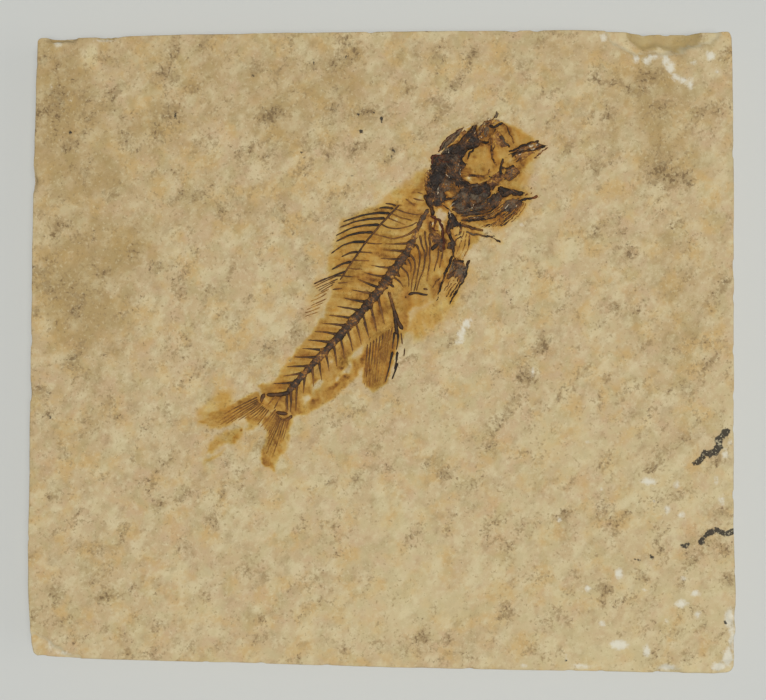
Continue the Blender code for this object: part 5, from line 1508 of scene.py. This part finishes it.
def film_strength(u, v):
    """0 on bare stone to 1 where the film is thickest: the strongest outline at each point,
    plus mottle, streaks along the muscles, thick spots and what the bones add, less what
    flaked off."""
    wu, wv = warped(u, v, EDGE_RAGGED, EDGE_WAVE, 61)
    film = FILM_DEPTH * strongest(strength * soft_step(inside(wu, wv, shape), -soft, soft)
                                  for shape, strength, soft in FILM)
    there = soft_step(film, *FILM_THERE)
    film = film + there * FILM_MOTTLE * noise(u, v, 1.6, 63, 3)
    slant = u + STREAK_SLANT * np.abs(v + 1)
    film = film + there * FILM_STREAK * noise(slant, v * 0.22, 0.75, 64, 3)
    film = film + there * FILM_STREAK * noise(slant, v * 0.3, 2.4, 66, 2)
    for *oval, amount in THICK:
        film = film + amount * blot(wu, wv, *oval)
    film = film + HALO_STRENGTH * halo_strength(u, v) * (0.4 + 0.6 * there)
    crumbled = 0.75 + 0.5 * noise(u, v, 0.8, 65, 3)
    film = film + MASS_STRENGTH * mass_strength(wu, wv) * crumbled
    gone = strongest(amount * blot(wu, wv, *oval) for *oval, amount in FLAKED)
    return np.clip(film * (1 - np.clip(FLAKE_EDGE * gone, 0, 1)), 0, 1)


def make_film():
    """The finer sheet of stone under the fish, closed below by one face."""
    rows = round((FILM_U[1] - FILM_U[0]) / FILM_STEP) + 1
    columns = round((FILM_V[1] - FILM_V[0]) / FILM_STEP) + 1
    u, v = np.meshgrid(np.linspace(*FILM_U, rows), np.linspace(*FILM_V, columns), indexing="ij")
    x, y = to_slab(u, v)
    heights = film_height(x, y, film_border(u, v))
    points = np.stack([x, y, heights], axis=-1).reshape(-1, 3)
    rim = border_numbers(rows, columns)
    groups = [grid_faces(rows, columns)[:, ::-1], rim[::-1][None]]
    marks = stone_marks(points[:, 0], points[:, 1])
    marks["wall"] = np.zeros(len(points))
    marks["stain"] = film_strength(u, v).ravel()
    return make_mesh("film_of_soft_parts", points, groups, marks)


finish(make_film(), LIMESTONE)

# %% [markdown]
# ## Fossil bone
#
# The bones are phosphate that took up iron and manganese: dark brown, a little waxy, and
# amber where they thin out to nothing. One number on the vertices, dark, picks the colour from
# a ramp, and fine noise moves it up and down, since no bone is evenly stained; mottled says how
# much. Three more numbers are for rust-red rims, for a grey that is partly dust and partly
# painted highlight, and for pale spots: flaked bone, and at the snout painted highlight too.

# %% Bone material
# The dust colour is also the painted highlight: grey where light would catch the bone
BONE = {"amber": "#B4893F", "tawny": "#875A28", "brown": "#5C3D21", "dark": "#3A2A1D",
        "black": "#231C17", "red": "#5E2A1A", "dust_and_highlight": "#6A5C48", "pale": "#CFC2A4"}
# How dark a bone is where it has these colours; amber is at 0 and black at 1
BONE_STEPS = ((0.25, "tawny"), (0.52, "brown"), (0.78, "dark"))
# Marks laid on by a number stored on the vertices: colour, attribute, range, how much shows
# The second mark lays on grey that is partly dust and partly painted highlight
BONE_MARKS = (("red", "red", 0.2, 0.9, 0.8), ("dust_and_highlight", "dust_and_highlight", 0.35, 0.95, 0.75),
              ("pale", "pale", 0.4, 0.8, 0.9))
# The mottles: size in mm, detail, roughness and how far they swing
MOTTLES = ((1.2, 2, 0.6, 0.85), (0.4, 2, 0.6, 1.35))


def fossil_bone(name):
    """Stained phosphate: a ramp over dark, mottled at two sizes, with marks laid over it."""
    material, tree, shader, metres = start_material(name, {
        "Roughness": 0.62, "IOR": 1.55, "Specular IOR Level": 0.2})
    value = add(tree, "Attribute", attribute_name="dark").outputs["Fac"]
    mottled = add(tree, "Attribute", attribute_name="mottled").outputs["Fac"]
    for row in MOTTLES:
        mottle = swing(tree, metres, *row)
        value = add(tree, "Math", {0: mottle, 1: mottled, 2: value},
                    operation="MULTIPLY_ADD").outputs[0]
    ramp = add(tree, "ValToRGB", {"Fac": value})
    steps = ramp.color_ramp.elements
    steps[0].color = srgb(BONE["amber"])
    steps[1].color = srgb(BONE["black"])
    for place, key in BONE_STEPS:
        steps.new(place).color = srgb(BONE[key])
    colour = lay_marks(tree, ramp.outputs[0], BONE, BONE_MARKS, mottle)
    tree.links.new(colour, shader.inputs["Base Color"])
    grain(tree, shader, metres, 0.4, 3, 0.65, 0.08, 0.6)
    return material


FOSSIL_BONE = fossil_bone("phosphatised_bone")

# %% [markdown]
# ## Slim bones
#
# A rib or a ray is a rod that tapers from root to tip. Blender's bevelled curves would make
# one, but every rod would then be perfectly round and even. Here a ring of points is carried
# along each line: half as high as wide, because the mud flattened it, with a width and
# a path that chance disturbs, and rounded ends that close in a pole. Each rod lies in the film
# up to about its middle.

# %% Rods along lines
ROD_SIDES = 8
ROD_STEP = 0.3
ROD_FLATNESS = 0.62
ROD_MOTTLE = 0.4
ROD_LUMPS = 0.18
ROD_TAPER = 0.55  # below 1, a rod is flared at its root
ROD_WAVER = 0.035
ROD_END = 1.6  # half widths over which an end rounds off
LEAST_END = 0.04
FADE = 1.3  # above 1, a rod stays near its root's darkness for longer
SHADE_CHANCE = (-0.1, 0.07)  # how much lighter or darker than its neighbours a rod is
SHADE_MOTTLE = 0.14
LIFT_CHANCE = (-0.02, 0.05)  # mm that a rod lies deeper or higher than the sheet


def smooth_line(path, step):
    """Points a step apart on a curve through the path: even steps, then each point's mean
    with its neighbours, which rounds the corners and keeps the ends."""
    path = np.array(path, dtype=float)
    length = np.linalg.norm(np.diff(path, axis=0), axis=1).sum()
    points = even_steps(path, max(5, int(length / step) + 1))
    for _ in range(3):
        points[1:-1] = (points[:-2] + 2 * points[1:-1] + points[2:]) / 4
    return points


def surface_height(u, v):
    """Height of the film's sheet at a point of the fish's plane."""
    x, y = to_slab(u, v)
    return THICKNESS + face_relief(x, y)


def rod(line, widths, darks, flatness, seed, lift=0.0, sides=ROD_SIDES, mottled=ROD_MOTTLE,
        dust_and_highlight=0.0):
    """One rod: rings across the line, each an ellipse whose half width falls to nothing at
    the ends as a circle's edge does. Points, faces from 0, and marks per point."""
    ahead = np.gradient(line, axis=0)
    ahead /= np.linalg.norm(ahead, axis=1)[:, None]
    aside = np.column_stack([-ahead[:, 1], ahead[:, 0]])
    walked = np.concatenate([[0], np.cumsum(np.linalg.norm(np.diff(line, axis=0), axis=1))])
    row = np.full(len(line), float(seed))
    lumps = 1 + ROD_LUMPS * noise(walked, row * 3.7, 0.7, 71, 2)
    to_end = np.minimum(walked, walked[-1] - walked) / np.maximum(widths, 1e-3)
    rounded = np.sqrt(1 - (1 - np.clip(to_end / ROD_END, LEAST_END, 1)) ** 2)
    widths = widths * lumps * rounded
    waver = ROD_WAVER * noise(walked, row * 1.9, 1.1, 72)
    line = line + aside * waver[:, None]
    angle = np.arange(sides) * 2 * math.pi / sides
    across = widths[:, None] * np.cos(angle)
    up = widths[:, None] * np.sin(angle) * flatness
    u = line[:, :1] + aside[:, :1] * across
    v = line[:, 1:] + aside[:, 1:] * across
    base = surface_height(line[:, 0], line[:, 1])[:, None] + lift
    x, y = to_slab(u, v)
    rings = np.stack([x, y, base + up], axis=-1).reshape(-1, 3)
    ends = np.array([[*to_slab(*line[k]), base[k, 0]] for k in (0, -1)])
    count = len(line) * sides
    groups = (grid_faces(len(line), sides, 0, closed=True),
              np.concatenate([fan_faces(np.arange(sides), count)[:, ::-1],
                              fan_faces(count - sides + np.arange(sides), count + 1)]))
    tone = np.concatenate([np.repeat(darks, sides), darks[[0, -1]]])
    tones = np.stack([tone, np.full(len(tone), mottled), np.full(len(tone), dust_and_highlight)])
    return np.concatenate([rings, ends]), groups, tones


def join(parts):
    """Several rods as one list of points, with their faces' numbers shifted to match."""
    points, squares, triangles, tones, start = [], [], [], [], 0
    for part_points, (part_squares, part_triangles), tone in parts:
        points.append(part_points)
        squares.append(part_squares + start)
        triangles.append(part_triangles + start)
        tones.append(tone)
        start += len(part_points)
    groups = [np.concatenate(squares), np.concatenate(triangles)]
    return np.concatenate(points), groups, np.concatenate(tones, axis=1)


def bone_rods(bones, seed):
    """A rod for each bone of a list, each a little lighter or darker than its neighbours."""
    chance = np.random.default_rng(seed)
    parts = []
    for number, (path, root, tip, dark_root, dark_tip) in enumerate(bones):
        line = smooth_line(path, ROD_STEP)
        share = np.linspace(0, 1, len(line))
        darks = dark_root + (dark_tip - dark_root) * share ** FADE
        darks = darks + chance.uniform(*SHADE_CHANCE)
        darks = darks + SHADE_MOTTLE * noise(line[:, 0], line[:, 1], 1.2, 73, 2)
        widths = root + (tip - root) * share ** ROD_TAPER
        lift = chance.uniform(*LIFT_CHANCE)
        parts.append(rod(line, widths, darks, ROD_FLATNESS, seed + number, lift))
    return parts


def bone_piece(name, parts, node):
    """One piece from rods, with the bone material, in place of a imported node."""
    points, groups, (dark, mottled, dust_and_highlight) = join(parts)
    none = np.zeros(len(points))
    marks = {"dark": dark, "mottled": mottled, "dust_and_highlight": dust_and_highlight, "red": none, "pale": none}
    finish(make_mesh(name, points, groups, marks), FOSSIL_BONE, node)


# %% Vertebrae
LAST_JOINTS = (44.0, 46.2)  # u of the joints in front of the foremost spine
JOINT_SHIFT = -0.1
HALF_SPOOL = 1.1  # mm from the middle of a vertebra to its joint
SPOOL_WAIST = 0.76
SPOOL_CURVE = 1.5
SPOOL_LUMPS = 0.16
JOINT_FLARE = 0.16
SPOOL_DARK = 0.72
WAIST_DARK = -0.16  # paler towards the joint, but for the joint itself:
JOINT_DARK = 0.08
SPOOL_MOTTLE = 0.26
NECK_U = (37.5, 41)  # towards the skull the bone pales by so much over this stretch
NECK_DARK = -0.22
COLUMN_FLATNESS = 0.42
COLUMN_SIDES = 16
COLUMN_STEP = 0.11
COLUMN_LIFT = -0.05
COLUMN_MOTTLED = 1.5
# How much grey of dust and painted highlight lies on the vertebrae
COLUMN_DUST_AND_HIGHLIGHT = 0.4


def vertebrae():
    """The row of vertebrae: each is widest where a spine has its root and narrows towards the
    next, and the joint between them flares a little. Width and darkness are sums of steps."""
    line = smooth_line(COLUMN, COLUMN_STEP)
    u, v = line.T
    roots = np.array([path[0][0] for path in NEURAL_SPINES] + list(LAST_JOINTS)) + JOINT_SHIFT
    off = np.abs(u[:, None] - roots).min(axis=1)
    waist = np.clip(off / HALF_SPOOL, 0, 1)
    joint = soft_step(waist, 0.8, 1.0)
    widths = np.interp(u, *np.array(COLUMN_WIDTH).T)
    widths = widths * (1 - (1 - SPOOL_WAIST) * waist ** SPOOL_CURVE + JOINT_FLARE * joint)
    widths = widths * (1 + SPOOL_LUMPS * noise(u, v, 0.8, 75, 2))
    darks = SPOOL_DARK + WAIST_DARK * waist + JOINT_DARK * joint
    darks = darks + SPOOL_MOTTLE * noise(u, v, 0.8, 74, 3)
    darks = darks + NECK_DARK * soft_step(u, *NECK_U)
    return rod(line, widths, darks, COLUMN_FLATNESS, 5, COLUMN_LIFT, COLUMN_SIDES,
               COLUMN_MOTTLED, COLUMN_DUST_AND_HIGHLIGHT)


bone_piece("backbone_with_ribs", [vertebrae()] + bone_rods(BACKBONE_BONES, 100), "backbone")
bone_piece("back_fin", bone_rods(DORSAL_BONES, 200), "dorsal_fin")
bone_piece("vent_fin", bone_rods(ANAL_BONES, 400), "anal_fin")
bone_piece("tail_fan", bone_rods(TAIL_BONES, 500), "tail_fin")

# %% [markdown]
# ## Crushed plates
#
# The head is many thin bones pressed on top of each other and cracked. Modelling each one
# would invent edges that cannot be seen, so each mass is one height map. Its plates are
# outlines with a rise in mm, and its struts are lines with a half width and a rise. The highest
# one wins at each point and gives its colour. Fine noise crumbles the surface and cracks it.
# Only the squares of the grid that carry bone are kept, and they are closed to a thin solid
# whose edges dive under the film.

# %% Solids from height maps
CRUST_STEP = 0.1
CRUST_WARP = 0.14
CRUST_WAVE = 0.8
CRUST_EDGE = 0.16
CRUST_DIVE = 0.14
CRUST_FLOOR = 0.35
LEAST_RISE = 0.03
FULL_RISE = 0.2
CRUMB = 0.10  # mm, and half of it for the finer ones
CRACK_WIDTH = 0.07
CRACK_DEPTH = 0.12
# Painted shade: the colour is darkened in each crack, over a band a little wider than the crack
CRACK_PAINTED_SHADE = 0.12
CRACK_PAINTED_SHADE_WIDTH = 0.08  # a crack's shade is a little wider than the crack
MASS_SWELL = 0.35
# How much grey of dust and painted highlight the crushed masses get
MASS_MOTTLE = 0.28
MASS_DUST_AND_HIGHLIGHT = 0.3
MASS_MOTTLED = 0.75


def fill_corners(kept):
    """Squares that touch only at a corner get a neighbour, so that no edge has four faces."""
    kept = kept.copy()
    for _ in range(4):
        a, b, c, d = kept[:-1, :-1], kept[1:, :-1], kept[:-1, 1:], kept[1:, 1:]
        cross = (a & d & ~b & ~c) | (b & c & ~a & ~d)
        kept[:-1, :-1] |= cross
        kept[1:, :-1] |= cross
    return kept


def solid_cells(top, low, rises):
    """Closed solids over a grid: the squares that have a raised corner, the same squares
    below with the order reversed, and a wall wherever a kept square meets an empty one."""
    rows, columns = rises.shape
    up = rises > LEAST_RISE
    kept = fill_corners(up[:-1, :-1] | up[1:, :-1] | up[:-1, 1:] | up[1:, 1:])
    kept[[0, -1], :] = False
    kept[:, [0, -1]] = False
    numbers = np.arange(rows * columns).reshape(rows, columns)
    corners = (numbers[:-1, :-1], numbers[1:, :-1], numbers[1:, 1:], numbers[:-1, 1:])
    count = rows * columns
    faces = [np.stack([corner[kept] for corner in corners], axis=1)]
    faces.append(faces[0][:, ::-1] + count)
    for side, shift in enumerate(((0, -1), (1, 0), (0, 1), (-1, 0))):
        neighbour = np.roll(kept, (-shift[0], -shift[1]), axis=(0, 1))
        open_side = kept & ~neighbour
        first, second = corners[side][open_side], corners[(side + 1) % 4][open_side]
        faces.append(np.stack([second, first, first + count, second + count], axis=1))
    faces = np.concatenate(faces)
    used = np.unique(faces)
    points = np.concatenate([top.reshape(-1, 3), low.reshape(-1, 3)])[used]
    return points, np.searchsorted(used, faces), used


def strut_height(u, v, path, root, tip):
    """0 beside a strut to 1 on its line: sqrt(1 - (gap / half width)^2), as a circle's edge,
    with a half width that goes from root to tip."""
    reach = np.linspace(root, tip, len(path))
    height = np.zeros(u.shape)
    for start, end, first, last in zip(path, path[1:], reach, reach[1:]):
        gap, share = to_segment(u, v, start, end)
        half = first + (last - first) * share
        height = np.maximum(height, np.sqrt(np.clip(1 - (gap / half) ** 2, 0, 1)))
    return height


def crushed(name, node, region, plates, struts, seed):
    """One crushed mass: the highest of its plates and struts, crumbled by noise."""
    u0, u1, v0, v1 = region
    u, v = np.meshgrid(np.arange(u0, u1, CRUST_STEP), np.arange(v0, v1, CRUST_STEP),
                       indexing="ij")
    wu, wv = warped(u, v, CRUST_WARP, CRUST_WAVE, seed)
    layers = [(soft_step(inside(wu, wv, outline), -CRUST_EDGE, CRUST_EDGE), rise, tone)
              for outline, rise, tone in plates]
    layers += [(strut_height(wu, wv, path, root, tip), rise, tone)
               for path, root, tip, rise, tone in struts]
    rises = np.zeros(u.shape)
    marks = {key: np.zeros(u.shape) for key in ("dark", "red", "dust_and_highlight", "pale")}
    for height, rise, (dark, *others) in layers:
        raised = rise * height
        wins = raised > rises
        rises = np.maximum(rises, raised)
        thin = 0.5 + 0.5 * soft_step(raised / rise, 0.1, 0.8)
        for key, value in zip(marks, (dark * thin, *others)):
            marks[key] = np.where(wins, value, marks[key])

    # Crumbs, cracks with painted shade along them, mottle, and the grey of dust and painted
    # highlight
    crumbs = CRUMB * noise(u, v, 0.9, seed + 2, 3) + CRUMB / 2 * noise(u, v, 0.35, seed + 3, 2)
    cracks = np.abs(noise(wu, wv, 1.3, seed + 4, 3))
    opened = CRACK_DEPTH * soft_step(CRACK_WIDTH - cracks, 0, CRACK_WIDTH)
    there = soft_step(rises, LEAST_RISE, FULL_RISE)
    swell = 1 + MASS_SWELL * noise(u, v, 1.5, seed + 5, 2)
    rises = rises * swell + there * (crumbs - opened)
    marks["dark"] += MASS_MOTTLE * noise(u, v, 1.1, seed + 6, 4)
    marks["dark"] += CRACK_PAINTED_SHADE * soft_step(CRACK_PAINTED_SHADE_WIDTH - cracks, 0, CRACK_PAINTED_SHADE_WIDTH)
    marks["dust_and_highlight"] += MASS_DUST_AND_HIGHLIGHT * noise(u, v, 1.2, seed + 7, 4)
    marks["mottled"] = np.full(u.shape, MASS_MOTTLED)

    x, y = to_slab(u, v)
    ground = surface_height(u, v)
    top = np.stack([x, y, ground + np.where(rises > LEAST_RISE, rises, -CRUST_DIVE)], axis=-1)
    low = np.stack([x, y, ground - CRUST_FLOOR], axis=-1)
    points, faces, used = solid_cells(top, low, rises)
    for key in marks:
        marks[key] = np.tile(np.clip(marks[key], 0, 1).ravel(), 2)[used]
    finish(make_mesh(name, points, [faces], marks), FOSSIL_BONE, node)


# %% Splinters
# Each set: the plate they lie in, how many are thrown, their direction in degrees and its
# spread, and the rise they start from
SKULL_SPLINTERS = ((0, 130, 62, 38, 0.36), (2, 22, 30, 40, 0.42), (4, 60, -25, 30, 0.40),
                   (8, 40, -12, 20, 0.5), (3, 22, 60, 40, 0.42), (12, 26, 20, 40, 0.12),
                   (13, 34, -35, 14, 0.13), (14, 20, -15, 30, 0.13), (15, 18, -20, 40, 0.12))
JAW_SPLINTERS = ((0, 14, -60, 20, 0.5), (1, 30, -8, 14, 0.24), (2, 26, -25, 20, 0.24),
                 (3, 60, -42, 12, 0.16), (4, 30, -44, 10, 0.09))
SHOULDER_SPLINTERS = ((0, 18, 50, 30, 0.4), (1, 18, 60, 25, 0.2))
PELVIC_SPLINTERS = ((0, 50, 8, 16, 0.2), (1, 12, 0, 25, 0.3))
SPLINTER_TONES = (PITCH, DARK, DARK, BROWN, TAWNY, TAWNY, DRAB, ASH, MAROON, CHIP)
SPLINTER_ODDS = (0.2, 0.14, 0.14, 0.15, 0.1, 0.03, 0.1, 0.06, 0.05, 0.03)
SPLINTER_REACH = (0.15, 0.75)  # mm from its middle to its end
SPLINTER_HALF = (0.05, 0.15)
SPLINTER_RISE = (0.0, 0.14)


def splinters(plates, sets, seed):
    """Short struts thrown by chance inside outlines, each in its set's direction give or take
    the spread: broken edges of bone too small to place one by one."""
    chance = np.random.default_rng(seed)
    struts = []
    for number, count, direction, spread, rise in sets:
        outline = plates[number][0]
        corners = np.array(outline)
        spots = chance.uniform(corners.min(axis=0), corners.max(axis=0), (count * 4, 2))
        for spot in spots[inside(*spots.T, outline) > 0][:count]:
            angle = math.radians(direction + chance.normal(0, spread))
            way = np.array([math.cos(angle), math.sin(angle)])
            reach = chance.uniform(*SPLINTER_REACH) * way
            tone = SPLINTER_TONES[chance.choice(len(SPLINTER_TONES), p=SPLINTER_ODDS)]
            half = chance.uniform(*SPLINTER_HALF)
            raised = rise + chance.uniform(*SPLINTER_RISE)
            struts.append(((spot - reach, spot + reach), half, half / 2, raised, tone))
    return struts


# %% Skull, throat, shoulder and belly fin
crushed("crushed_skull", "skull", (45.4, 71.6, -11.2, 7.4), SKULL_PLATES,
        SKULL_STRUTS + splinters(SKULL_PLATES, SKULL_SPLINTERS, 41), 81)
crushed("jaw_and_throat", "lower_jaw", (48.2, 63.2, -15.3, -2.8), JAW_PLATES,
        JAW_STRUTS + FOLD_STRUTS + splinters(JAW_PLATES, JAW_SPLINTERS, 42), 91)
crushed("shoulder_bones", "shoulder_girdle", (40.0, 51.2, -15.2, -0.3), SHOULDER_PLATES,
        SHOULDER_STRUTS + splinters(SHOULDER_PLATES, SHOULDER_SPLINTERS, 43), 95)
crushed("belly_fin", "pelvic_fin", (32.4, 44.2, -15.4, -8.4), PELVIC_PLATES,
        PELVIC_STRUTS + splinters(PELVIC_PLATES, PELVIC_SPLINTERS, 44), 99)
